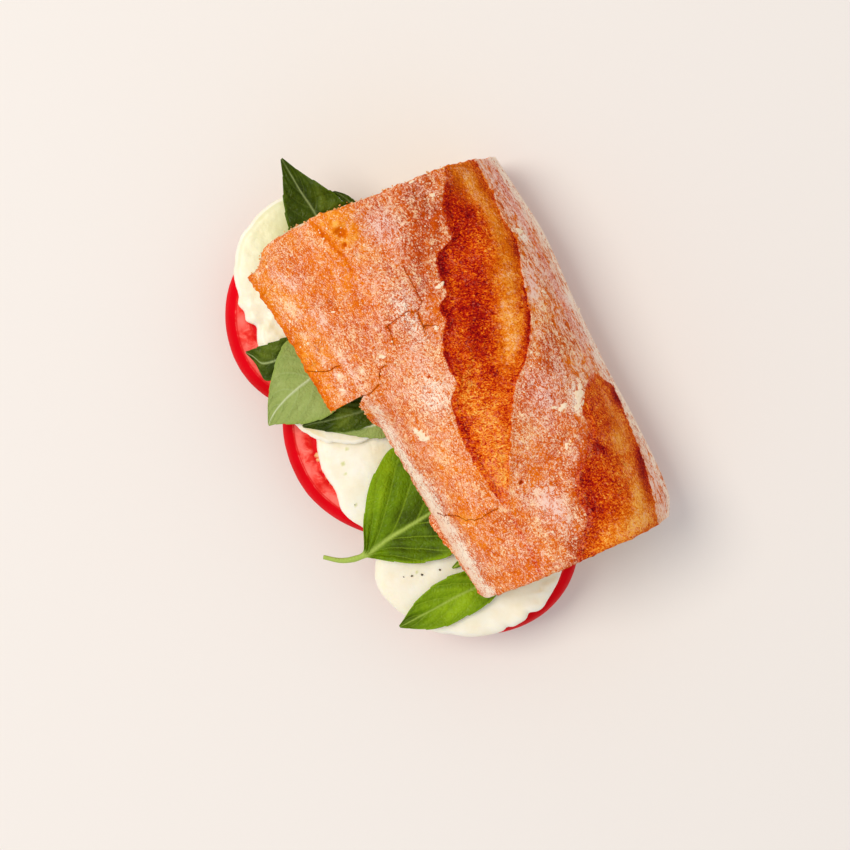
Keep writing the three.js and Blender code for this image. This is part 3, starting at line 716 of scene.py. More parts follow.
def makeUpperBread(material):
    even = np.linspace(0, 1, crust["stations"])
    atStep = np.linspace(0.392, 0.428, 36)
    u = np.sort(np.concatenate([even, atStep]))
    y, cut, share, number = acrossTop(u)
    uu = u[:, None] + 0 * y
    x = alongLoaf(uu, y)
    # crumbly cut edges: the first and last stations wander along the loaf
    fromLeft, fromRight = uu * crust["length"], (1 - uu) * crust["length"]
    wander = 0.6 * rough(y, 0 * y, 1.7, 171, 4)
    x = x + (wander + leftNotches(y)) * np.exp(-fromLeft / 2) + 0.5 * wander * np.exp(-fromRight / 1.5)
    low = underside(x, y)
    relief = crustRelief(x, y, share)
    nearEdge = np.minimum(ease(0, 1.5, y - y[:, :1]), ease(0, 1.5, y[:, -1:] - y))
    height = crustHeight(x, y) - cut
    z = low + crust["rimThick"] + height + relief * (0.35 + 0.65 * nearEdge)
    z = z - 0.9 * np.exp(-np.minimum(fromLeft, fromRight) / 0.8)
    top = np.stack([x, y, z], -1)
    width = np.maximum(np.where(number == 1, firstFar(x) - firstNear(x), secondFar(x) - secondNear(x)), 1.5)
    tones = crustTone(x, y, share, width, number)
    tones["torn"] = np.where(share >= 0, opened(width), 0)

    # behind, below and in front of that: kinds says how much each column is crumb
    front, back = y[:, 0], y[:, -1]
    around, kinds = [], []
    for drop in (0.3, 0.6, 0.85):
        yy = back - 0.8 * drop ** 2
        xx = alongLoaf(u, yy)
        around.append(np.stack([xx, yy, underside(xx, yy) + crust["rimThick"] * (1 - drop)], -1))
        kinds.append(0.2)
    count = crust["undersideColumns"]
    holes = scatterHoles(-70, 90, -34, 20, 620, 7)
    for step in range(count + 1):
        yy = mix(back - 0.8, front + 0.8, 1 - (1 - step / count) ** 1.25)
        xx = alongLoaf(u, yy)
        fromEnds = np.minimum(xx - alongLoaf(0, yy), alongLoaf(1, yy) - xx)
        inner = ease(1.0, 2.6, np.minimum(yy - front, fromEnds))
        pit = airHoles(xx, yy, holes) * inner if step > count * 0.35 else 0 * xx
        rise = pit + 0.2 * (1 + rough(xx, yy, 1.7, 181)) * inner
        around.append(np.stack([xx, yy, underside(xx, yy) + rise], -1))
        kinds.append(1)
    frontTop = z[:, 0] - low[:, 0]
    stepX = alongLoaf(u, front)
    torn = ease(-9.8, -8.8, stepX) * (1 - ease(4, 9, stepX))
    for part in (0.12, 0.26, 0.42, 0.6, 0.8):
        yy = front + 0.8 * (1 - part) ** 2 + torn * (0.3 + 0.3 * rough(stepX, part * frontTop, 1.2, 187))
        xx = alongLoaf(u, yy)
        around.append(np.stack([xx, yy, underside(xx, yy) + frontTop * part], -1))
        kinds.append(np.maximum(torn, 0.25 if part < 0.2 else 0)[:, None])
    under = np.stack(around, 1)
    sections = np.concatenate([top, under], 1)
    endHoles = [scatterHoles(-34, 66, 18, 68, 420, 17), scatterHoles(-24, 56, 18, 68, 380, 18)]
    crumb = np.concatenate([0 * x] + [kind + 0 * u[:, None] for kind in kinds], 1)
    points, faces, fromBorder, depth = closedLoaf(sections, crust["capRings"], endHoles, crumb)
    crumb = crumb.ravel()
    pad = len(points) - len(crumb)
    inEnd = fromBorder[-pad:] + 0.4 * rough(points[-pad:, 1], points[-pad:, 2], 2, 191)
    masks = {
        "crumb": np.concatenate([crumb, ease(crust["skinThick"] - 0.7, crust["skinThick"] + 0.5, inEnd)]),
        "pit": depth,
    }
    for mask, values in tones.items():
        # walls and cut ends have the plain tones of baked bread
        plain = {"bake": 0.35, "flour": 0.2}.get(mask, 0)
        wrapped = np.concatenate([values, plain + 0 * under[..., 0]], 1).ravel()
        masks[mask] = np.concatenate([wrapped, np.full(pad, plain)])
    crackSide, crackNear = crackField(points[:, 0], points[:, 1])
    masks["crackSide"] = crackSide
    masks["crackNear"] = crackNear * (points[:, 2] > underside(points[:, 0], points[:, 1]) + 1)
    makePiece("breadTop", "bread_top", material, points, faces, masks)


lowerBread = {"height": 20, "inset": 11, "stations": 220, "arcColumns": 26, "faceColumns": 80, "capRings": 36}


def makeLowerBread(material):
    u = np.linspace(0, 1, lowerBread["stations"])
    front = meet(sideEdge, u) + 0.6
    back = meet(backEdge, u) - 0.6
    height, inset = lowerBread["height"], lowerBread["inset"]
    loop, kinds = [], []

    def place(y, z, kind):
        x = alongLoaf(u, y)
        skin = 0.25 * rough(x / 3, y + z, 2.2, 201) + 0.3 * rough(x, y - z, 7, 211, 2)
        fromFloor = ease(0, 3, z)
        push = np.where(z >= height - 0.01, 0, skin * fromFloor)
        side = np.where(y > (front + back) / 2, -1, 1)
        loop.append(np.stack([x, y + side * np.abs(push), z], -1))
        kinds.append(kind + 0 * u)

    count = lowerBread["faceColumns"]
    holes = scatterHoles(-70, 90, -24, 66, 900, 23)
    for step in range(count):
        y = mix(front, back, step / count)
        x = alongLoaf(u, y)
        inner = ease(0.8, 2.4, np.minimum(y - front, back - y))
        fall = (airHoles(x, y, holes) * 0.7 + 0.15 * (1 + rough(x, y, 1.6, 221))) * inner
        place(y, height - 0.02 - fall + 0 * u, 1)
    arc = lowerBread["arcColumns"]
    for step in range(arc + 1):
        angle = step / arc * math.pi / 2
        place(back - inset * (1 - math.cos(angle)), height * (1 - math.sin(angle)) + 0 * u, 0)
    for share in np.linspace(0, 1, 42)[1:-1]:
        place(mix(back - inset, front + inset, share), 0 * u, 0)
    for step in range(arc, 0, -1):
        angle = step / arc * math.pi / 2
        place(front + inset * (1 - math.cos(angle)), height * (1 - math.sin(angle)) + 0 * u, 0)
    sections = np.stack(loop, 1)
    endHoles = [scatterHoles(-24, 66, 0, 20, 260, 27), scatterHoles(-24, 60, 0, 20, 240, 28)]
    kinds = np.stack(kinds, 1)
    points, faces, fromBorder, depth = closedLoaf(sections, lowerBread["capRings"], endHoles, kinds)
    kinds = kinds.ravel()
    x, y, z = points.T
    pad = len(points) - len(kinds)
    bake = 0.36 + 0.1 * rough(x, y + z, 8, 231) + 0.2 * (1 - ease(0, 5, z))
    flour = 0.62 + 0.2 * rough(x / 2, y + z, 5, 241)
    inEnd = fromBorder[-pad:] + 0.4 * rough(y[-pad:], z[-pad:], 2, 251)
    crumb = np.concatenate([kinds, ease(1, 2.2, inEnd)])
    masks = {"crumb": crumb, "bake": bake, "flour": flour, "pit": depth}
    even = {"torn": 0, "cool": 0, "creamFlourAndLight": 0.3, "gold": 0, "coarse": 0.5, "crackSide": 2, "crackNear": 0}
    for mask, value in even.items():
        masks[mask] = value + 0 * bake
    makePiece("breadBottom", "bread_bottom", material, points, faces, masks)


def makeBreadMaterial():
    # baked wheat crust: dry, finely blistered and dusted with flour, over an open cream-coloured crumb
    material, tree, masks = startMaterial("flouredWheatCrust", (
        "bake", "flour", "cool", "creamFlourAndLight", "gold", "coarse", "crumb", "pit", "torn", "crackSide", "crackNear",
    ), IOR=1.45, Specular_IOR_Level=0.06)
    place = addNode(tree, "TexCoord", output="Object")

    def grains(size, offset, detail=3, roughness=0.6, vector=place, distortion=0.0):
        # noise with lumps this many mm wide, centred on 0
        noise = addNode(tree, "TexNoise", {
            "Vector": vector, "Scale": perMetre(size), "W": offset, "Detail": detail, "Roughness": roughness,
            "Distortion": distortion,
        }, noise_dimensions="4D")
        return addNode(tree, "Math", {0: noise, 1: -0.5}, operation="ADD")

    def creases(noise, width, strength):
        # thin lines where a noise passes zero
        away = addNode(tree, "Math", {0: noise}, operation="ABSOLUTE")
        return addNode(tree, "MapRange", {
            "Value": away, "From Max": width, "To Min": strength, "To Max": 0.0,
        })

    # browning: slow blotches and a fine dark net, drawn out across the tear where the crust tore open
    strand = addNode(tree, "Mapping", {
        "Vector": place, "Rotation": (0, 0, math.radians(58)), "Scale": (1.8, 1, 1),
    }, vector_type="TEXTURE")
    # the skin's own pattern is a little longer along the loaf
    drawn = addNode(tree, "Mapping", {"Vector": place, "Scale": (1.5, 1, 1)}, vector_type="TEXTURE")
    crease = grains(1.2, 1.0, 2, 0.6, drawn, 2.0)
    # the golden places are smoother
    calm = layered(tree, 1.0, (masks["gold"], -0.55))
    uneven = addNode(tree, "Math", {0: masks["torn"], 1: calm}, operation="MULTIPLY")
    netShare = layered(tree, 0.0, (masks["coarse"], 0.6), (uneven, 1.9))
    net = layered(tree, 0.0, (crease, 0.75), (grains(1.5, 1.5, 3, 0.58, strand, 3.5), netShare))
    wrinkle = creases(grains(1.8, 3.0, 3, 0.6, strand, 1.5), 0.05, 0.2)
    tone = layered(tree, masks["bake"], (grains(3.2, 2.0), 0.4), (net, -0.9), (wrinkle, masks["torn"]))
    browned = addNode(tree, "ValToRGB", {"Fac": tone}, stops=[
        (0.0, "#fccf72"), (0.2, "#f49c30"), (0.36, "#ea6e0c"), (0.5, "#d04602"), (0.64, "#b41e06"),
        (0.8, "#94060a"), (1.0, "#5c000c"),
    ])
    golden = addNode(tree, "ValToRGB", {"Fac": tone}, stops=[
        (0.1, "#fcb450"), (0.36, "#e67e08"), (0.6, "#ce5c02"), (0.85, "#963000"),
    ])
    baked = painted(tree, browned, (masks["gold"], golden))

    # hairline cracks run jagged where the signed distance passes zero, with little flour beside them
    jagged = layered(tree, masks["crackSide"], (grains(2.0, 9.0, 4, 0.6), 1.8))
    away = addNode(tree, "Math", {0: jagged}, operation="ABSOLUTE")
    fringe = addNode(tree, "MapRange", {"Value": away, "From Max": 0.9, "To Min": 1.0, "To Max": 0.0})
    fringe = addNode(tree, "Math", {0: fringe, 1: masks["crackNear"]}, operation="MULTIPLY")

    # flour: fine specks that only partly hide the crust, parted by worm-like creases and dried into flakes
    # towards the back; on the golden crust inside the openings it lies in creamy blotches
    fineShare = layered(tree, 2.4, (masks["torn"], -1.7))
    flaky = layered(tree, 0.0, (grains(2.8, 6.5, 3, 0.6, drawn, 1.5), 4.2))
    blotches = layered(tree, 0.0, (grains(3.2, 8.5, 3, 0.6, strand, 2.0), 4.0))
    goldTorn = addNode(tree, "Math", {0: masks["torn"], 1: masks["gold"]}, operation="MULTIPLY")
    cover = layered(
        tree, masks["flour"],
        (grains(0.4, 4.0, 1), fineShare),
        (grains(1.4, 5.0, 2, 0.6, drawn, 2.0), 3.4),
        (grains(0.8, 5.5, 2), 1.2),
        (grains(4.0, 6.0, 3, 0.6, drawn), 1.5),
        (creases(grains(1.5, 8.0, 3, 0.6, place, 1.5), 0.05, 0.85), -1.0),
        (flaky, masks["coarse"]),
        (blotches, goldTorn),
        (fringe, -0.5),
    )
    cover = addNode(tree, "MapRange", {"Value": cover, "To Max": 0.96})
    # pinkish or creamy by turns; inside the openings rosy on the dark crust and creamy on the golden
    slow = layered(tree, grains(10, 7.0, 2), (grains(1.3, 7.5, 2), 1.2))
    slow = addNode(tree, "Math", {0: slow, 1: 0.5}, operation="ADD")
    tint = addNode(tree, "ValToRGB", {"Fac": slow}, stops=[
        (0.34, "#f8cdb4"), (0.5, "#fad4ae"), (0.66, "#fedcac"),
    ])
    rosy = painted(tree, linear("#ea8060"), (masks["gold"], "#f8c896"))
    # the cream coat is near white, partly painted light on the front side and the back edge
    tint = painted(tree, tint, (masks["cool"], "#f8d4c4"), (masks["creamFlourAndLight"], "#fff0da"), (masks["torn"], rosy))

    # the cracks' own lines, and a faint crazing elsewhere
    hairline = addNode(tree, "MapRange", {
        "Value": away, "From Min": 0.06, "From Max": 0.22, "To Min": 1.0, "To Max": 0.0,
    }, interpolation_type="SMOOTHSTEP")
    crack = addNode(tree, "Math", {0: hairline, 1: masks["crackNear"]}, operation="MULTIPLY")
    bent = addNode(tree, "TexNoise", {"Vector": place, "Scale": perMetre(3), "Detail": 3}, "Color")
    bent = addNode(tree, "VectorMath", {0: bent, 1: [0.0035] * 3, 2: place}, operation="MULTIPLY_ADD")
    cells = addNode(tree, "TexVoronoi", {"Vector": bent, "Scale": perMetre(5)}, feature="DISTANCE_TO_EDGE")
    craze = addNode(tree, "MapRange", {
        "Value": cells, "From Min": 0.008, "From Max": 0.024, "To Min": 1.0, "To Max": 0.0,
    })
    some = addNode(tree, "MapRange", {
        "Value": grains(12, 11.0, 2), "From Min": 0.06, "From Max": 0.12, "To Max": 0.4,
    })
    some = layered(tree, some, (masks["creamFlourAndLight"], 0.4))
    craze = addNode(tree, "Math", {0: craze, 1: some}, operation="MULTIPLY")
    lines = addNode(tree, "Math", {0: crack, 1: craze}, operation="MAXIMUM")
    lineShare = layered(tree, 0.0, (lines, 0.95))

    def pores(size, strength):
        # round pores left by the gas, one to a cell this many mm wide
        middles = addNode(tree, "TexVoronoi", {"Vector": bent, "Scale": perMetre(size)})
        return addNode(tree, "MapRange", {
            "Value": middles, "From Min": 0.16, "From Max": 0.44, "To Min": strength, "To Max": 0.0,
        }, interpolation_type="SMOOTHSTEP")

    # crumb: creamy, with painted shade down in its holes and pores, darker and warmer there
    soft = addNode(tree, "TexNoise", {"Vector": place, "Scale": perMetre(3), "Detail": 4, "Roughness": 0.6})
    crumbTone = addNode(tree, "ValToRGB", {"Fac": soft}, stops=[(0.3, "#f8d4a4"), (0.7, "#ffeed4")])
    pitShade = addNode(tree, "MapRange", {"Value": masks["pit"], "From Max": 3.2, "To Max": 0.7})
    fine = addNode(tree, "Math", {0: pores(2.6, 0.7), 1: pores(1.2, 0.5)}, operation="MAXIMUM")
    hollowShade = addNode(tree, "Math", {0: pitShade, 1: fine}, operation="MAXIMUM")
    crumb = painted(tree, crumbTone, (hollowShade, "#dc9a58"))

    colour = painted(tree, baked, (cover, tint), (lineShare, "#883000"), (masks["crumb"], crumb))
    inCrumb = addNode(tree, "Math", {0: fine, 1: masks["crumb"]}, operation="MULTIPLY")
    height = layered(tree, crease, (grains(0.5, 13.0), 0.6), (lines, -0.06), (inCrumb, -1.2))
    dry = addNode(tree, "MapRange", {"Value": cover, "To Min": 0.9, "To Max": 0.95})
    finishMaterial(tree, colour, height, 0.6, 0.0005, dry)
    return material


breadMaterial = makeBreadMaterial()
print("upper bread")
makeUpperBread(breadMaterial)
print("lower bread")
makeLowerBread(breadMaterial)


def overhang(x, y):
    # how far a place hangs out over the lower bread
    pastEnds = np.maximum(leftEnd(y) - x, x - rightEnd(y))
    return np.hypot(np.maximum(sideEdge(x) + 0.6 - y, 0), np.maximum(pastEnds, 0))


def droop(x, y):
    # how far a slice sinks where nothing carries it
    return 0.003 * np.maximum(overhang(x, y) - 2, 0) ** 2


def sliceOutline(size, angle, frayed):
    across = np.where(np.sin(angle) < 0, size["halfFront"], size["halfBack"])
    radius = 1 / np.hypot(np.cos(angle) / size["halfLong"], np.sin(angle) / across)
    # torn most on the side that hangs out in front
    inFront = ease(0.05, 0.7, -np.sin(angle))
    for amount, waves, phase in size["ragged"]:
        radius = radius + amount * np.sin(waves * angle + phase) * (0.1 + 0.9 * inFront)
    usual = 34
    frays = rough(usual * np.cos(angle), usual * np.sin(angle), 5, size["seed"], 4)
    radius = radius + frayed * frays * (0.25 + 0.75 * inFront)
    for place, halfWidth, depth in size.get("nicks", []):
        away = (angle - math.radians(place) + math.pi) % (2 * math.pi) - math.pi
        radius = radius - depth * np.exp(-(away * radius / halfWidth) ** 2)
    c, s = math.cos(size["turn"]), math.sin(size["turn"])
    x, y = radius * np.cos(angle), radius * np.sin(angle)
    x, y = x * c - y * s, x * s + y * c
    return np.clip(size["centre"][0] + x, *size["clip"]), size["centre"][1] + y


def sliceBody(size, segments, rings, floorHeight, top, relief, frayed):
    # rings of (share of the way out, inset, rise), from the middle of the top to the middle of the underside
    angle = np.arange(segments) / segments * 2 * math.pi
    edgeX, edgeY = sliceOutline(size, angle, frayed)
    middleX, middleY = size["centre"]
    reach = np.hypot(edgeX - middleX, edgeY - middleY)
    rows = []
    for share, inset, rise in rings:
        scale = share * (reach - inset) / reach
        x, y = mix(middleX, edgeX, scale), mix(middleY, edgeY, scale)
        z = mix(floorHeight, top(x, y) + relief(x, y, share, angle), rise) - droop(x, y)
        rows.append(np.stack([x, y, z], 1))
    count = len(rings)
    points = np.concatenate(rows + [
        [[middleX, middleY, rows[0][:, 2].mean()], [middleX, middleY, rows[-1][:, 2].mean()]],
    ])
    index = np.arange(count * segments).reshape(count, segments)
    following = np.roll(index, -1, axis=1)
    quads = np.stack([index[:-1], index[1:], following[1:], following[:-1]], -1).reshape(-1, 4)
    topFan = np.stack([np.full(segments, count * segments), index[0], following[0]], 1)
    lowFan = np.stack([np.full(segments, count * segments + 1), following[-1], index[-1]], 1)
    faces = quads.tolist() + topFan.tolist() + lowFan.tolist()
    ringOf = np.concatenate([np.repeat(np.arange(count), segments), [0, count - 1]])
    angleOf = np.concatenate([np.tile(angle, count), [0, 0]])
    return points, outward(points, faces), ringOf, angleOf


tomato = {
    "segments": 220,
    "topRings": 44,
    "chambers": 7,
    "seedCount": 120,
    "rimRings": 18,
    "radius": 32,
    "slices": {
        "tomatoSliceLeft": {
            "node": "tomato_slice_left", "centre": (-39.2, -18.3), "halfLong": 36.6, "halfFront": 36.6,
            "halfBack": 34, "turn": 0, "clip": (-90, -18.6), "seed": 301, "chamberTurn": 0.66,
        },
        "tomatoSliceMiddle": {
            "node": "tomato_slice_middle", "centre": (8, -29.9), "halfLong": 36, "halfFront": 28.5,
            "halfBack": 44, "turn": 0, "clip": (-18.1, 37.7), "seed": 311, "chamberTurn": 0.66,
        },
        "tomatoSliceRight": {
            "node": "tomato_slice_right", "centre": (65.6, -11.8), "halfLong": 30, "halfFront": 35.6,
            "halfBack": 32, "turn": -0.13, "clip": (38.2, 100), "seed": 321, "chamberTurn": 0.1,
        },
    },
}


def makeTomatoSlice(name, size, material):
    size = {**size, "ragged": [(0.3, 3, 0.7), (0.2, 5, 2)]}
    insetOf = through([[0, 4.4], [1, 3.5], [2, 1.7], [3, 0.3], [4, 0], [5, 1]])
    riseOf = through([[0, 1], [1, 0.94], [2, 0.72], [3, 0.35], [4, 0.1], [5, 0]])
    rings = [(share, 4.4, 1) for share in np.linspace(0.03, 1, tomato["topRings"])]
    rings += [(1, float(insetOf(p)), float(riseOf(p))) for p in np.linspace(0.15, 5, tomato["rimRings"])]
    rings += [(share, 1, 0) for share in np.linspace(0.97, 0.05, 12)]
    rng = np.random.default_rng(size["seed"])
    seedTurn = rng.uniform(0, 2 * math.pi, tomato["seedCount"])
    seedOut = rng.uniform(0.4, 0.8, tomato["seedCount"])

    def chamberAt(share, angle):
        # seed chambers: rounded wedges between the core and the outer wall, filled with gel
        each = 2 * math.pi / tomato["chambers"]
        away = np.abs((angle + size["chamberTurn"] + 0.1 * np.sin(3 * angle)) % each - each / 2)
        fromWall = (0.83 + 0.03 * np.sin(5 * angle + size["seed"]) - share) * tomato["radius"]
        fromCore = (share - 0.34) * tomato["radius"]
        fromRib = (each / 2 - away) * share * tomato["radius"] - 1.5
        return ease(0, 1.4, np.minimum(np.minimum(fromWall, fromCore), fromRib))

    def relief(x, y, share, angle):
        chamber = chamberAt(share, angle)
        flesh = 0.08 * rough(x, y, 3, size["seed"] + 3) + 0.04 * rough(x, y, 0.9, size["seed"] + 5)
        edge = 0.35 * ease(0.9, 1, share)
        return flesh - 0.5 * chamber + 0.18 * chamber * rough(x, y, 2, size["seed"] + 7) - edge - 0.15

    top = layers["tomatoFloor"] + layers["tomatoThick"]
    points, faces, ringOf, angle = sliceBody(
        size, tomato["segments"], rings, layers["tomatoFloor"], lambda x, y: top + 0 * x, relief, 0.06)
    shares = np.array([ring[0] for ring in rings])[ringOf]
    upper = ringOf < tomato["topRings"]
    lower = ringOf >= tomato["topRings"] + tomato["rimRings"]
    flat = upper | lower
    chamber = chamberAt(shares, angle) * flat
    x, y = points[:, 0], points[:, 1]
    seeds = np.zeros(len(points))
    for turn, out in zip(seedTurn, seedOut):
        # a seed is 2 mm wide and 3.4 mm long
        away = (angle - turn + math.pi) % (2 * math.pi) - math.pi
        outwards = (shares - out) * tomato["radius"] / 1.7
        seeds = np.maximum(seeds, 1 - np.hypot(away * shares * tomato["radius"], outwards))
    ringsOfSkin = ringOf - tomato["topRings"]
    skin = np.where(flat, np.where(upper, ease(0.985, 1, shares), 0), ease(-1, 2, ringsOfSkin))
    paler = np.clip(0.5 + 0.5 * rough(x, y, 6, size["seed"] + 11), 0, 1)
    masks = {
        "skin": skin,
        "gel": chamber,
        "seed": ease(0, 0.25, seeds) * ease(0.6, 1, chamber),
        "pale": paler * ease(0.84, 0.93, shares) * flat,
    }
    makePiece(name, size["node"], material, points, faces, masks)


def makeTomatoMaterial():
    # ripe tomato: thin waxy skin over wet, slightly see-through flesh and darker gel
    material, tree, masks = startMaterial(
        "ripeTomato", ("skin", "gel", "seed", "pale"), IOR=1.4, Specular_IOR_Level=0.06,
        Subsurface_Weight=0.06, Subsurface_Scale=0.002, Subsurface_Radius=(1.0, 0.25, 0.15))
    place = addNode(tree, "TexCoord", output="Object")
    vein = addNode(tree, "TexNoise", {
        "Vector": place, "Scale": perMetre(3.5), "Detail": 5, "Roughness": 0.62, "Distortion": 0.6,
    })
    flesh = addNode(tree, "ValToRGB", {"Fac": vein}, stops=[
        (0.36, "#de1a14"), (0.5, "#ee3c32"), (0.66, "#fc7c6e"),
    ])
    blush = addNode(tree, "TexNoise", {"Vector": place, "Scale": perMetre(14), "Detail": 2})
    skinTone = addNode(tree, "ValToRGB", {"Fac": blush}, stops=[(0.3, "#ce000a"), (0.7, "#e00016")])
    colour = painted(
        tree, flesh, (masks["pale"], "#fa7a6e"), (masks["gel"], "#e0121c"), (masks["seed"], "#efc98a"),
        (masks["skin"], skinTone))
    gloss = addNode(tree, "MapRange", {"Value": masks["skin"], "To Min": 0.35, "To Max": 0.3})
    grain = addNode(tree, "TexNoise", {"Vector": place, "Scale": perMetre(0.8), "Detail": 3})
    rest = addNode(tree, "Math", {0: 1.0, 1: masks["skin"]}, operation="SUBTRACT")
    height = addNode(tree, "Math", {0: grain, 1: rest}, operation="MULTIPLY")
    finishMaterial(tree, colour, height, 0.5, 0.0003, gloss)
    return material


# torn: (mm, waves round the slice, phase); nicks: (degrees, half width, depth); lumpy: spots with a depth
mozzarella = {
    "segments": 260,
    "topRings": 46,
    "torn": [(0.7, 5, 1.2), (0.5, 9, 0.4), (0.35, 14, 2.2)],
    "slices": {
        "mozzarellaSliceLeft": {
            "node": "mozzarella_slice_left", "centre": (-46.3, -13.1), "halfLong": 37.2, "halfFront": 31.2,
            "halfBack": 30, "turn": 0, "clip": (-90, -19.2), "seed": 401,
            "nicks": [(-107, 2.2, 1), (-113, 1.6, -0.5), (-95, 2.6, 1.6), (-101, 1.6, -0.5), (-120, 4, 0.6)],
            "lumpy": [(-52, -39, 10, 4, 0.5)],
        },
        "mozzarellaSliceMiddle": {
            "node": "mozzarella_slice_middle", "centre": (17.4, -14), "halfLong": 38.9, "halfFront": 35.6,
            "halfBack": 30, "turn": 0, "clip": (-18.6, 37.7), "seed": 411, "lumpy": [],
        },
        "mozzarellaSliceRight": {
            "node": "mozzarella_slice_right", "centre": (61.6, -18.3), "halfLong": 30.6, "halfFront": 35.6,
            "halfBack": 34, "turn": -0.45, "clip": (38.2, 100), "seed": 421,
            "nicks": [(38, 1.6, 1.3), (46, 2.5, -0.6), (20, 1.4, 0.9)],
            "lumpy": [(89, -2, 6, 10, 1.3), (84, -30, 12, 5, 0.4)],
        },
    },
    "small": {
        "node": "mozzarella_slice_small", "centre": (-14, -28), "halfLong": 21, "halfFront": 18.8,
        "halfBack": 13, "turn": 0, "clip": (-28.2, 12), "seed": 431, "lumpy": [],
        "ragged": [(1.3, 3, -0.26), (0.3, 7, 1)],
    },
    # oily or translucent patches: x, y, half length, half width, turn, strength
    "stains": [
        (-41, -35.5, 7, 1.1, 8, 1.0), (-46, -38.5, 7, 2, 10, 0.35), (-6, -43.8, 7, 1.8, 25, 0.8),
        (3, -33, 4, 9, -20, 0.5), (14, -27, 12, 5, 0, 0.3), (-70, -8, 12, 14, 0, 0.35),
        (72, -10, 10, 12, 0, 0.3), (56, -44, 6, 5, 0, 0.3), (80, -36, 8, 3, 30, 0.2),
    ],
    # small greenish marks: x, y, radius
    "marks": [
        (9.8, -40.6, 1.1), (13.4, -41.7, 0.8), (24.8, -44.6, 0.8), (6, -36.6, 0.9), (57, -38.5, 0.8),
        (53, -36, 0.7),
    ],
}


def underBread(x, y, level, room):
    return np.minimum(level, underside(x, y) - room)


def mozzarellaSurface(x, y):
    return underBread(x, y, layers["mozzarellaTop"], 1.5)


def toppingSurface(x, y):
    return underBread(x, y, layers["toppingTop"], 2.3)


def softTop(x, y):
    return 0.3 * (1 + np.sin(x / 7 + 0.5) * np.sin(y / 6))


def mozzarellaRelief(size, x, y):
    # soft folds and pulled strands, only ever below the slice's level
    seed = size["seed"]
    folds = 0.16 * (1 + rough(x, y, 7, seed + 20, 2)) + 0.05 * (1 + rough(x, y, 1.8, seed + 24))
    strands = 0.05 * (1 + rough(x * 0.5 + y * 0.5, y * 3 - x * 3, 6, seed + 28, 2))
    relief = -np.maximum(folds + strands, 0)
    for px, py, halfLong, halfWide, depth in size["lumpy"]:
        patch = spot(x, y, px, py, halfLong, halfWide)
        relief = relief - depth * patch * np.abs(rough(x, y, 4.5, seed + 32, 2))
    return relief


def makeMozzarellaSlice(name, size, material, floorHeight, surface):
    insetOf = through([[0, 4.5], [1, 2.4], [2, 0.8], [3, 0], [4, 0.7], [5, 2.2]])
    riseOf = through([[0, 1], [1, 0.97], [2, 0.8], [3, 0.45], [4, 0.12], [5, 0]])
    rings = [(share, 4.5, 1) for share in np.linspace(0.03, 1, mozzarella["topRings"])]
    rings += [(1, float(insetOf(p)), float(riseOf(p))) for p in np.linspace(0.2, 5, 20)]
    rings += [(share, 2.2, 0) for share in np.linspace(0.95, 0.05, 10)]
    points, faces, ringOf, _ = sliceBody(
        size, mozzarella["segments"], rings, floorHeight, surface,
        lambda x, y, *_: mozzarellaRelief(size, x, y), 0.28)
    x, y = points[:, 0], points[:, 1]
    upper = ringOf < mozzarella["topRings"] + 6
    stain = np.zeros(len(points))
    for px, py, halfLong, halfWide, turn, strength in mozzarella["stains"]:
        stain = np.maximum(stain, strength * spot(x, y, px, py, halfLong, halfWide, turn))
    # painted shade: the whole left slice gets a darker greyish-green tint, as where the leaf above shades it;
    # the listed marks are real green specks
    greenMarkAndShade = 0.7 * spot(x, y, -70, -10, 20, 24)
    for px, py, radius in mozzarella["marks"]:
        greenMarkAndShade = np.maximum(greenMarkAndShade, ease(0, 0.7, 1 - np.hypot(x - px, y - py) / radius))
    makePiece(name, size["node"], material, points, faces, {
        "stain": stain * upper * (0.7 + 0.3 * rough(x, y, 3, 441)), "greenMarkAndShade": greenMarkAndShade * upper,
    })


def makeMozzarellaMaterial():
    # fresh mozzarella: moist milky curd, light goes a little way in, faintly fibrous
    material, tree, masks = startMaterial(
        "freshMozzarella", ("stain", "greenMarkAndShade"), IOR=1.45, Roughness=0.36, Coat_Weight=0.15, Coat_Roughness=0.2,
        Subsurface_Weight=0.3, Subsurface_Scale=0.003, Subsurface_Radius=(1.0, 0.85, 0.6))
    place = addNode(tree, "TexCoord", output="Object")
    cloud = addNode(tree, "TexNoise", {"Vector": place, "Scale": perMetre(8), "Detail": 4, "Roughness": 0.55})
    milk = addNode(tree, "ValToRGB", {"Fac": cloud}, stops=[
        (0.3, "#f3ecd2"), (0.55, "#f7f3e0"), (0.75, "#faf7ea"),
    ])
    # greenish marks, and painted shade over the left slice
    colour = painted(tree, milk, (masks["stain"], "#e3cc8e"), (masks["greenMarkAndShade"], "#d5d896"))
    curd = addNode(tree, "TexNoise", {"Vector": place, "Scale": perMetre(1.6), "Detail": 4, "Roughness": 0.5})
    finishMaterial(tree, colour, curd, 0.35, 0.0004)
    return material


def ceiling(x, y):
    # highest level a leaf may take: close under the upper bread, free a little way outside it
    outside = np.maximum(cadFrontEdge(x) - y, np.maximum(leftEnd(y) - x, x - rightEnd(y)))
    low = underside(x, y) - layers["touchGap"] - layers["leafThick"] - 0.05
    return low + 1.2 * np.maximum(outside - 3, 0)


def cadFrontEdge(x):
    return mix(sideEdge(x), flapEdge(x), 1 - ease(-9.5, -4.1, x))


def raisedPaleLeaf(x, y):
    return mix(34.2, 36.6, ease(-36, -12, x)) - layers["mozzarellaTop"] + mozzarellaSurface(x, y)


def overTuckedLeaf(x, y):
    return toppingSurface(x, y) + 0.95 * ease(-5.6, -3.2, x)


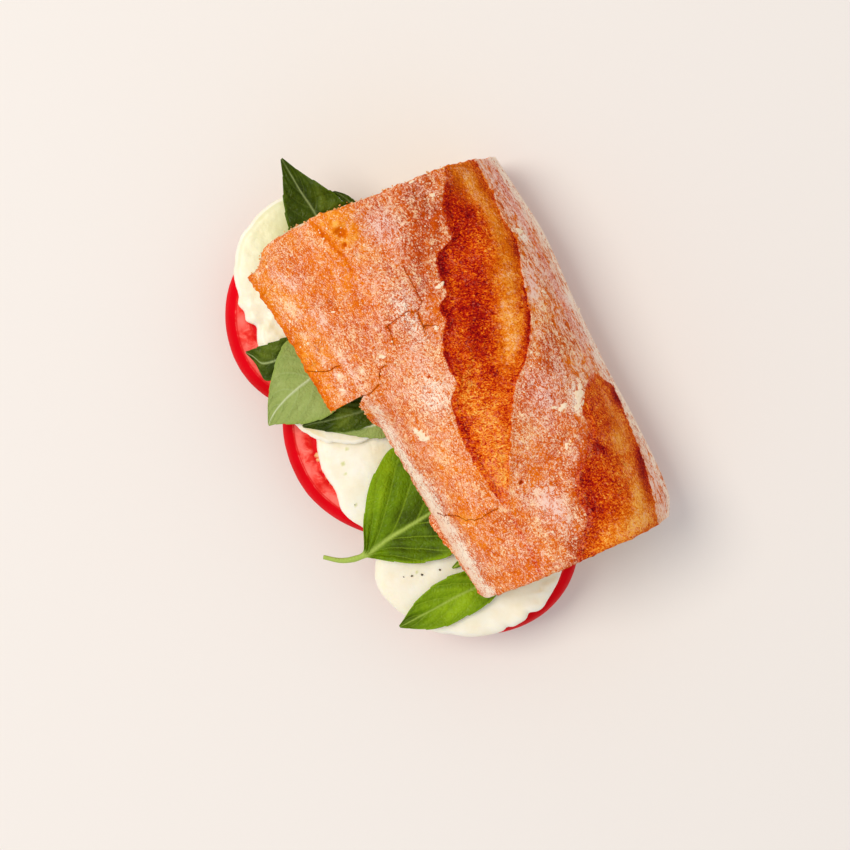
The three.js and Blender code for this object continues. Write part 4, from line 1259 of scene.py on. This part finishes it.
# rows run from a leaf's base to its tip, each with a point on one edge and one on the other
basil = {
    "thickness": 0.38,
    "toothDepth": 0.45,
    "teeth": 7,
    # what every leaf has unless its own lines say otherwise
    "usual": {
        "floor": mozzarellaSurface, "finish": "dark", "midrib": 0.5, "tipLift": 0, "steps": (110, 64),
        "bladeStart": 0.0, "fan": 0.34, "bend": 1.15, "firstVein": 0.7, "fade": 0.8, "veinWidth": 0.24,
        # patches: x, y, half length, half width, turn, change of tone; they paint highlights and shade on the
        # blade as well as its own lighter and darker green
        "veinShare": 0.5, "ribWidth": 0.55, "ribShare": 1, "patches": [],
    },
    "leaves": {
        "basilLeafBackLeft": {
            "node": "basil_leaf_back_left",
            "rows": [
                [-57.5, -4.6, -57.3, -2.4], [-61, -10.5, -59.5, 5.5], [-67.5, -13.2, -66, 9],
                [-74.7, -11.5, -72.8, 8], [-81, -8.8, -80, 4.7], [-87.5, -5.2, -87, 1.4],
                [-94.3, -2.2, -94.5, -1.3],
            ],
            "fold": 1.6, "tipLift": 1.5, "wave": 0.7, "waves": 3,
            "veins": 6, "pucker": 0.6, "seed": 501, "veinShare": 0.8, "fade": 0.6,
            "ribWidth": 0.42, "ribShare": 0.6,
            "patches": [
                (-70, 4.5, 8, 3, 20, 0.4), (-80, -1, 10, 1.6, 0, -0.25), (-75, -8, 8, 2.5, -20, -0.15),
            ],
        },
        "basilLeafSmallLeft": {
            "node": "basil_leaf_small_left",
            "rows": [
                [-58, 10.9, -58.2, 12.6], [-63, 9.9, -63, 13.4], [-68, 9.4, -68.2, 12.6],
                [-72, 8.5, -71.6, 11.2], [-75, 7.6, -74.8, 8.5],
            ],
            "fold": 0.5, "tipLift": 0.3, "wave": 0.3, "waves": 2,
            "veins": 4, "pucker": 0.5, "seed": 511, "ribWidth": 0.4, "ribShare": 0.35,
        },
        "basilLeafFrontLeft": {
            "node": "basil_leaf_front_left",
            "rows": [
                [-33.4, -24, -31, -24.6], [-37, -28, -30, -31], [-39.1, -33, -29.2, -38],
                [-40.3, -38.6, -28.7, -44.4], [-41.6, -43.8, -30.5, -48.3], [-42.3, -47, -37.5, -48.3],
                [-42.9, -49, -42.3, -49.3],
            ],
            "fold": 0.5, "wave": 0.25, "waves": 3,
            "veins": 5, "pucker": 0.35, "seed": 521,
            "patches": [(-38.6, -42, 3.5, 8, 20, 0.5), (-33, -44, 3, 8, 20, -0.2)],
        },
        "basilLeafFrontPale": {
            "node": "basil_leaf_front_pale",
            "rows": [
                [-25.4, -26, -22.4, -26], [-33, -28.4, -13, -26.6], [-38, -33, -8.4, -31],
                [-36.8, -37.3, -8.3, -39], [-32.4, -43.2, -10.6, -45.6], [-26.2, -49.2, -13.4, -50.3],
                [-21.2, -53, -15, -53.4], [-16.6, -55.9, -15.7, -55.9],
            ],
            "floor": raisedPaleLeaf, "fold": 0.4, "tipLift": -1.6, "wave": 0.3, "waves": 3, "midrib": 0.52,
            "veins": 6, "pucker": -0.5, "finish": "underside", "seed": 531, "ribWidth": 0.4, "ribShare": 0.7,
        },
        "basilLeafDark": {
            "node": "basil_leaf_dark",
            "rows": [
                [-3.6, -17.6, -1, -18], [-7, -22, 2.3, -22], [-9.2, -27.5, 2.4, -27],
                [-10.6, -33.4, 0.6, -32.4], [-11.2, -39, -2.7, -38.2], [-10.6, -43, -6.6, -42.9],
                [-9.6, -45.6, -8.8, -45.6],
            ],
            "floor": overTuckedLeaf, "fold": 0.2, "wave": 0.1, "waves": 3,
            "veins": 6, "pucker": 0.45, "seed": 541, "ribShare": 0.3,
            "patches": [(-4.5, -30.5, 4.5, 3, -60, 0.5), (-5, -39, 6, 2.5, -60, -0.3)],
        },
        "basilLeafTucked": {
            "node": "basil_leaf_tucked",
            "rows": [
                [3, -18.2, 5, -18.4], [-1, -21, 9.6, -21.4], [-2, -26.5, 7.4, -26.2],
                [-2.4, -31.5, 3.2, -31.6], [-2.6, -37, -1.8, -37.4],
            ],
            "floor": toppingSurface, "fold": 0, "wave": 0, "waves": 1,
            "veins": 4, "pucker": -0.15, "finish": "underside", "seed": 551,
        },
        "basilLeafWithStem": {
            "node": "basil_leaf_with_stem",
            "rows": [
                [34.3, -64.2, 35.5, -65.2], [38.4, -59.4, 40, -60.3], [40.1, -55.2, 42.2, -55.8],
                [40.6, -51.4, 43.2, -51], [31.6, -45.2, 47.6, -45], [22.6, -37.6, 52.4, -38.6],
                [17.4, -30.4, 55.8, -31.8], [14.4, -23, 57.5, -24.6], [17, -15, 55, -15.6],
                [25, -9.6, 47, -10], [34.6, -7.4, 38, -7.4],
            ],
            "fold": 2.6, "wave": 0.7, "waves": 4, "midrib": 0.62,
            "veins": 4.2, "firstVein": -0.8, "pucker": 0.5, "finish": "fresh", "seed": 561, "bladeStart": 0.29,
            "ribWidth": 0.85, "fan": 0.7, "bend": 0.95, "fade": 0.2, "veinShare": 0.95, "veinWidth": 0.3,
            "steps": (200, 120),
            "patches": [(25, -36, 10, 4, -45, 0.4), (18, -27, 5, 4, -60, 0.3), (47, -34, 12, 9, 20, -0.3),
                        (45, -24.5, 3, 3, 0, -0.5), (36, -27, 4, 9, 25, -0.2)],
        },
        "basilLeafFrontRight": {
            "node": "basil_leaf_front_right",
            "rows": [
                [70.6, -11.6, 72.6, -11.6], [66.8, -16, 77, -14.6], [65.4, -23.5, 79.6, -22.4],
                [64.1, -30, 79.6, -30.6], [64.3, -37.4, 78.6, -39.8], [66.2, -45.6, 75.9, -46.6],
                [68.6, -50.8, 73, -51.2], [70.1, -54.2, 71, -54.2],
            ],
            "fold": 1.2, "tipLift": 1.2, "wave": 0.5, "waves": 3,
            "veins": 4.4, "pucker": 0.6, "finish": "fresh", "seed": 571, "veinShare": 1, "fade": 0.2,
            "veinWidth": 0.34, "ribShare": 0.65,
            "patches": [(70.5, -51, 4, 5, 0, -0.3), (70, -34, 8, 12, 0, 0.3), (75, -30, 5, 10, 0, 0.3)],
        },
        "basilLeafTip": {
            "node": "basil_leaf_tip",
            "rows": [
                [61.4, -13, 62.6, -13], [60.6, -18, 63.4, -18], [60.9, -23, 63.5, -23],
                [61.9, -26.8, 62.7, -26.8],
            ],
            "fold": 0.2, "tipLift": 0.3, "wave": 0, "waves": 1,
            "veins": 3, "pucker": 0.1, "finish": "fresh", "seed": 581,
        },
    },
}


def leafEdge(corners, share):
    # smooth curve through the corners, its speed set by the square root of their distances
    corners = np.array(corners, float)
    row = np.vstack([2 * corners[0] - corners[1], corners, 2 * corners[-1] - corners[-2]])
    place = share * (len(corners) - 1)
    i = np.minimum(place.astype(int), len(corners) - 2)
    t = (place - i)[:, None]
    p0, p1, p2, p3 = (row[i + k] for k in range(4))
    d0, d1, d2 = (np.linalg.norm(b - a, axis=1)[:, None] ** 0.5 for a, b in ((p0, p1), (p1, p2), (p2, p3)))
    slopeIn = ((p1 - p0) / d0 - (p2 - p0) / (d0 + d1) + (p2 - p1) / d1) * d1
    slopeOut = ((p2 - p1) / d1 - (p3 - p1) / (d1 + d2) + (p3 - p2) / d2) * d1
    cubic = 2 * p1 - 2 * p2 + slopeIn + slopeOut
    square = 3 * p2 - 3 * p1 - 2 * slopeIn - slopeOut
    return ((cubic * t + square) * t + slopeIn) * t + p1


def makeLeaf(name, leaf, finishes):
    leaf = {**basil["usual"], **leaf}
    along, across = leaf["steps"]
    u = np.linspace(0, 1, along + 1)
    v = np.linspace(0, 1, across + 1)
    oneEdge = leafEdge([row[:2] for row in leaf["rows"]], u)
    otherEdge = leafEdge([row[2:] for row in leaf["rows"]], u)
    width = np.linalg.norm(otherEdge - oneEdge, axis=1)[:, None]
    # shallow teeth, none at both ends and fewer where the leaf is narrow
    toothed = basil["toothDepth"] * (u * basil["teeth"] % 1) * np.sin(math.pi * u)
    toothed = toothed * np.clip(width[:, 0] / 8, 0, 1)
    outwards = (otherEdge - oneEdge) / np.maximum(width, 0.1) * toothed[:, None]
    oneEdge, otherEdge = oneEdge - outwards, otherEdge + outwards
    uu, vv = np.meshgrid(u, v, indexing="ij")
    x = mix(oneEdge[:, :1], otherEdge[:, :1], vv)
    y = mix(oneEdge[:, 1:], otherEdge[:, 1:], vv)
    midrib = leaf["midrib"]
    out = np.where(vv < midrib, 1 - vv / midrib, (vv - midrib) / (1 - midrib))
    side = np.where(vv < midrib, 0, 1)
    body = np.sin(math.pi * uu) ** 0.6
    ruffle = 1 + np.sin(2 * math.pi * (leaf["waves"] * uu + 0.35 * vv))
    lift = leaf["fold"] * out ** 1.5 * body + leaf["tipLift"] * uu ** 2 + leaf["wave"] * ruffle * out * body

    # side veins leave the midrib and bend towards the tip; the blade is puffed between them
    start = leaf["bladeStart"]
    blade = np.clip((uu - start) / (1 - start), 0, 1)
    fan = leaf["fan"] * out ** leaf["bend"]
    phase = (blade - fan + 0.04 * side) * leaf["veins"]
    nearest = np.abs(phase - np.round(phase))
    length = np.linalg.norm(oneEdge[-1] - oneEdge[0]) * (1 - start)
    veinDistance = nearest / leaf["veins"] * length
    first = leaf["firstVein"]
    shown = ease(first - 1, first - 0.3, phase) * (1 - ease(leaf["veins"] - 1.2, leaf["veins"] - 0.2, phase))
    fade = 1 - leaf["fade"] * out ** 1.5
    sideVein = np.exp(-(veinDistance / leaf["veinWidth"]) ** 2) * shown * fade * (uu > start)
    halfWidth = width * np.where(side == 0, midrib, 1 - midrib)
    ribDistance = out * halfWidth
    ribWidth = mix(leaf["ribWidth"], 0.22, blade)
    rib = np.exp(-(ribDistance / ribWidth) ** 2) * (1 - 0.5 * ease(0.8, 1, blade))
    puff = (0.5 - 0.5 * np.cos(2 * math.pi * phase)) * np.sin(math.pi * np.clip(out, 0, 1)) ** 0.8
    puff = puff + 0.25 * rough(x, y, 2.2, leaf["seed"], 2) * np.sin(math.pi * out)
    relief = leaf["pucker"] * puff * body - math.copysign(0.16, leaf["pucker"]) * np.maximum(sideVein, rib)
    relief = relief + math.copysign(0.1, leaf["pucker"])

    # a narrow stalk is round instead of flat
    stalk = (1 - ease(2.6, 6, width)) * (1 - ease(start, start + 0.05, uu)) if start else 0 * uu
    roundness = np.sqrt(np.clip(1 - (2 * vv - 1) ** 2, 0, 1))
    lift = lift * (1 - stalk)
    relief = relief * (1 - stalk) + 0.9 * roundness * stalk
    floor = leaf["floor"](x, y) + layers["leafRise"]
    z = np.minimum(floor + lift + relief, ceiling(x, y)) - droop(x, y)
    thin = basil["thickness"] * (0.35 + 0.65 * np.clip(roundness * 2.5, 0, 1))
    low = np.stack([x, y, z + 0.08 - 0.5 * roundness * stalk], -1).reshape(-1, 3)
    high = np.stack([x, y, z + 0.08 + thin], -1).reshape(-1, 3)
    points = np.concatenate([low, high])
    count = len(low)
    index = np.arange(count).reshape(along + 1, across + 1)
    grid = np.stack([index[:-1, :-1], index[:-1, 1:], index[1:, 1:], index[1:, :-1]], -1).reshape(-1, 4)
    rim = np.concatenate([index[:-1, 0], index[-1, :-1], index[:0:-1, -1], index[0, :0:-1]])
    following = np.roll(rim, -1)
    band = np.stack([rim, following, following + count, rim + count], -1)
    faces = grid.tolist() + (grid[:, ::-1] + count).tolist() + band.tolist()
    # a leaf that lies upside down shows its underside on top
    isUnder = leaf["finish"] == "underside"
    finishOf = [0 if isUnder else 1] * len(grid) + [1 if isUnder else 0] * (len(grid) + len(band))
    # the tone: random, lighter on the puffed parts as a painted highlight, plus the patches of painted sheen
    # and shade and real lighter and darker green
    toneWithLight = 0.5 + 0.12 * rough(x, y, 6, leaf["seed"] + 5) + 0.2 * puff - 0.12
    for patch in leaf["patches"]:
        toneWithLight = toneWithLight + patch[-1] * spot(x, y, *patch[:-1])
    toneWithLight = np.clip(toneWithLight, 0, 1)
    masks = {
        "vein": np.tile(np.maximum(leaf["veinShare"] * sideVein, leaf["ribShare"] * rib).ravel(), 2),
        "rib": np.tile(np.maximum(leaf["ribShare"] * rib, stalk).ravel(), 2),
        "tone": np.tile(toneWithLight.ravel(), 2),
        "margin": np.tile(ease(0.86, 1, out).ravel(), 2),
    }
    pair = [finishes["dark" if isUnder else leaf["finish"]], finishes["underside"]]
    makePiece(name, leaf["node"], pair, points, outward(points, faces), masks, finishOf)


def makeBasilMaterial(name, blade, veinColour, ribColour, marginColour, roughness):
    # sweet basil leaf: smooth waxy upper side, or matt paler underside
    material, tree, masks = startMaterial(
        name, ("vein", "rib", "tone", "margin"), IOR=1.42, Roughness=roughness, Specular_IOR_Level=0.15)
    place = addNode(tree, "TexCoord", output="Object")
    mottle = addNode(tree, "TexNoise", {"Vector": place, "Scale": perMetre(1.6), "Detail": 4, "Roughness": 0.6})
    # the tone mask carries painted highlights and shade as well as the leaf's own tone
    tone = addNode(tree, "Math", {0: layered(tree, masks["tone"], (mottle, 0.5)), 1: -0.25}, operation="ADD")
    green = addNode(tree, "ValToRGB", {"Fac": tone}, stops=list(zip((0.0, 0.5, 1.0), blade)))
    colour = painted(
        tree, green, (masks["margin"], marginColour), (masks["vein"], veinColour), (masks["rib"], ribColour))
    cells = addNode(tree, "TexVoronoi", {"Vector": place, "Scale": perMetre(1.5)}, feature="DISTANCE_TO_EDGE")
    cell = addNode(tree, "MapRange", {"Value": cells, "From Max": 0.25})
    finishMaterial(tree, colour, layered(tree, cell, (mottle, 0.7)), 0.6, 0.00025)
    return material


def pebble(rng, place, size, flatness):
    # a small angular grain: an octahedron with its edges halved, pushed about a little
    corners = np.array([[1, 0, 0], [-1, 0, 0], [0, 1, 0], [0, -1, 0], [0, 0, 1], [0, 0, -1]], float)
    edges = [(a, b) for a in range(6) for b in range(a + 1, 6) if a // 2 != b // 2]
    middles = {frozenset(edge): 6 + number for number, edge in enumerate(edges)}
    points = np.vstack([corners, [(corners[a] + corners[b]) / 2 ** 0.5 for a, b in edges]])
    faces = []
    for a, b, c in [(a, b, c) for a in (0, 1) for b in (2, 3) for c in (4, 5)]:
        p, q, r = (middles[frozenset(edge)] for edge in ((a, b), (b, c), (c, a)))
        for face in ((a, p, r), (p, b, q), (r, q, c), (p, q, r)):
            faces.append(face[::-1] if (a + b + c) % 2 == 0 else face)
    points = points * (1 + rng.uniform(-0.25, 0.25, (len(points), 1)))
    turn = rng.uniform(0, 2 * math.pi)
    c, s = math.cos(turn), math.sin(turn)
    x, y, z = (points * [1, rng.uniform(0.6, 1), flatness] * size).T
    return np.stack([x * c - y * s, x * s + y * c, z], 1) + place, faces


def flake(rng, x, y, size):
    # a flat crust of dried flour with a ragged outline, lying on the loaf
    segments = 18
    angle = np.arange(segments) / segments * 2 * math.pi
    # waves round it, then every corner on its own
    wobble = 1 + 0.3 * np.sin(2 * angle + rng.uniform(0, 6)) + 0.16 * np.sin(5 * angle + rng.uniform(0, 6))
    wobble = wobble + rng.uniform(-0.14, 0.14, segments)
    turn = rng.uniform(0, math.pi)
    rows = []
    for share, height in ((0.0, 0.16), (0.45, 0.2), (0.85, 0.14), (1.0, 0.0), (0.9, -0.3)):
        px, py = share * size * wobble * np.cos(angle), 0.7 * share * size * wobble * np.sin(angle)
        px, py = px * math.cos(turn) - py * math.sin(turn) + x, px * math.sin(turn) + py * math.cos(turn) + y
        rows.append(np.stack([px, py, crustSurface(px, py) + height * (1 + 0.3 * rough(px, py, 0.8, 83))], 1))
    points = np.concatenate([rows[0][:1], *rows[1:], rows[-1].mean(0)[None]])
    faces = []
    for i in range(segments):
        j = (i + 1) % segments
        faces.append((0, 1 + i, 1 + j))
        for ring in range(3):
            a, b = 1 + ring * segments, 1 + (ring + 1) * segments
            faces.append((a + i, b + i, b + j, a + j))
        faces.append((1 + 3 * segments + j, 1 + 3 * segments + i, len(points) - 1))
    return points, faces


def joinGrains(name, grains, material):
    points, faces, total = [], [], 0
    for grainPoints, grainFaces in grains:
        points.append(grainPoints)
        faces += [[corner + total for corner in face] for face in grainFaces]
        total += len(grainPoints)
    makePiece(name, None, material, np.concatenate(points), faces)


def crustSurface(x, y):
    x, y = np.asarray(x, float), np.asarray(y, float)
    lift = crustHeight(x, y) + crustRelief(x, y, -1 + 0 * x)
    return underside(x, y) + crust["rimThick"] + lift


specks = {
    # larger dabs of dried flour: x, y, size
    "dabs": [
        (32, 43.4, 2.4), (34.5, 41.4, 2), (29.6, 45.2, 1.2), (32, 36, 1.5), (30.5, 33.4, 0.9), (44, 30, 1.1),
        (12.7, -11.4, 1.2), (14.7, -10.5, 1.7), (16.7, -9.6, 1.2), (15.9, -11.5, 0.8), (13.6, -9.6, 0.6),
        (-25.6, 21.9, 1.5), (-15.3, -7.7, 1.1), (-27.6, 56, 1.5), (-37.3, -14, 0.6), (-63.1, -25.6, 0.6),
        (-17.6, -24.2, 0.8), (-14.8, -16.3, 0.8), (-12.9, -26, 0.8), (7.5, 61, 0.8), (-60.5, 32.2, 0.8),
        (-33, -27.7, 0.6), (-43, -29, 0.6), (-53, 36, 1), (10, 36.5, 0.7), (-5, 52, 0.8), (-14, 13.2, 0.9),
    ],
    "flourCount": 420,
    "crumbCount": 110,
    "stepCrumbCount": 46,
    # ground pepper: x, y, size
    "pepper": [
        (57.3, -40.8, 0.42), (58.8, -37.4, 0.55), (60.6, -31, 0.4), (56, -43.5, 0.25), (24.6, -44.8, 0.22),
        (71, -3.6, 0.3),
    ],
}


def onSkin(x, y):
    # on the floured crust, clear of the openings and of the edges
    opening = firstNear(x) - 1 < y < firstFar(x) + 1 or secondNear(x) - 1 < y < secondFar(x) + 1
    inside = leftEnd(y) + 1.5 <= x <= rightEnd(y) - 1.5 and frontEdge(x) + 1.5 <= y <= backEdge(x) - 3
    return inside and not opening


def makeSpecks(flour, crumbs, pepper):
    rng = np.random.default_rng(77)
    grains = [flake(rng, *dab) for dab in specks["dabs"]]
    while len(grains) < specks["flourCount"]:
        x, y = rng.uniform(-64, 78), rng.uniform(-32, 60)
        if onSkin(x, y):
            z = float(crustSurface(x, y))
            grains.append(pebble(rng, (x, y, z), rng.uniform(0.16, 0.42), 0.45))
    joinGrains("flourDust", grains, flour)

    grains = []
    for _ in range(specks["crumbCount"]):
        y = rng.uniform(-32, 50)
        x = float(leftEnd(y)) + rng.normal(0.1, 0.35)
        z = float(underside(x, y) + crust["rimThick"] + crustHeight(x + 1.2, y)) - rng.uniform(0.4, 2.2)
        if firstNear(x) < y < firstFar(x):
            z -= 2
        grains.append(pebble(rng, (x, y, z), rng.uniform(0.14, 0.42), 0.8))
    # more of them along the torn step
    for _ in range(specks["stepCrumbCount"]):
        x = rng.uniform(-8.5, -1)
        y = float(frontEdge(x)) + rng.normal(0.2, 0.35)
        z = float(underside(x, y)) + rng.uniform(0.4, 3.4)
        grains.append(pebble(rng, (x, y, z), rng.uniform(0.25, 0.65), 0.8))
    joinGrains("looseCrumbs", grains, crumbs)

    grains = []
    for x, y, size in specks["pepper"]:
        here = np.array([x]), np.array([y])
        z = float((mozzarellaSurface(*here) - softTop(*here) - droop(*here))[0])
        grains.append(pebble(rng, (x, y, z + 0.05), size, 0.7))
    joinGrains("crackedPepper", grains, pepper)


def makePlainGrain(name, dark, light, size, roughness):
    # dry grains: dull, a little uneven in tone
    material, tree, _ = startMaterial(name, IOR=1.45, Roughness=roughness)
    place = addNode(tree, "TexCoord", output="Object")
    noise = addNode(tree, "TexNoise", {"Vector": place, "Scale": perMetre(size), "Detail": 3})
    colour = addNode(tree, "ValToRGB", {"Fac": noise}, stops=[(0.35, dark), (0.65, light)])
    finishMaterial(tree, colour, noise, 0.5, 0.0002)
    return material


print("tomato slices")
tomatoMaterial = makeTomatoMaterial()
for name, size in tomato["slices"].items():
    makeTomatoSlice(name, size, tomatoMaterial)

print("mozzarella slices")
mozzarellaMaterial = makeMozzarellaMaterial()
for name, size in mozzarella["slices"].items():
    makeMozzarellaSlice(
        name, {**size, "ragged": mozzarella["torn"]}, mozzarellaMaterial, layers["mozzarellaFloor"],
        lambda x, y: mozzarellaSurface(x, y) - softTop(x, y))
makeMozzarellaSlice(
    "mozzarellaSliceSmall", mozzarella["small"], mozzarellaMaterial, layers["toppingFloor"], toppingSurface)

print("basil leaves")
basilFinishes = {
    "dark": makeBasilMaterial(
        "basilDarkUpperSide", ("#202e00", "#3a4c00", "#60721c"), "#56691a", "#a3b276", "#4c6404", 0.36),
    "fresh": makeBasilMaterial(
        "basilFreshUpperSide", ("#3e5200", "#658600", "#8cae10"), "#86a41e", "#a6be56", "#7ea000", 0.38),
    "underside": makeBasilMaterial(
        "basilUnderside", ("#82984a", "#97a95c", "#a9b972"), "#aabb7a", "#d6dfb8", "#8ea44c", 0.62),
}
for name, leaf in basil["leaves"].items():
    makeLeaf(name, leaf, basilFinishes)

print("flour, crumbs and pepper")
makeSpecks(
    makePlainGrain("wheatFlourDabs", "#f4d8b0", "#fde9cc", 1.0, 0.95),
    makePlainGrain("toastedCrumbs", "#df8f40", "#efc485", 0.8, 0.8),
    makePlainGrain("blackPepper", "#3a2a1c", "#7a6a48", 0.3, 0.7),
)

# the photograph was taken from about 0.7 m above the board
camera = bpy.data.objects.new("camera", bpy.data.cameras.new("camera"))
bpy.context.scene.collection.objects.link(camera)
camera.location = (np.array([-10.8, 6.8, 709.4]) + shift) / 1000
camera.rotation_euler = (math.radians(-2.4), 0, math.radians(58.3))
camera.data.lens = 80
camera.data.sensor_width = 36
bpy.context.scene.camera = camera

floorMesh = bpy.data.meshes.new("floor")
floorMesh.from_pydata([(-3, -3, 0), (3, -3, 0), (3, 3, 0), (-3, 3, 0)], [], [(0, 1, 2, 3)])
floor = bpy.data.objects.new("floor", floorMesh)
bpy.context.scene.collection.objects.link(floor)
floorMesh.materials.append(startMaterial("paleMattePaper", Base_Color=linear("#ece8e2"), Roughness=0.9)[0])

world = bpy.data.worlds.new("studio")
bpy.context.scene.world = world
world.use_nodes = True
world.node_tree.nodes["Background"].inputs["Color"].default_value = linear("#fbfaff")
world.node_tree.nodes["Background"].inputs["Strength"].default_value = 0.68

keyLight = bpy.data.objects.new("keyLight", bpy.data.lights.new("keyLight", "AREA"))
bpy.context.scene.collection.objects.link(keyLight)
keyLight.data.shape = "DISK"
keyLight.data.size = 1.1
keyLight.data.energy = 29
keyLight.data.color = linear("#fff6ea")[:3]
keyLight.location = (-0.85, -0.8, 2.05)
# it points at the origin
keyLight.rotation_euler = (-keyLight.location).to_track_quat("-Z", "Y").to_euler()
bpy.context.scene.view_settings.view_transform = "Standard"
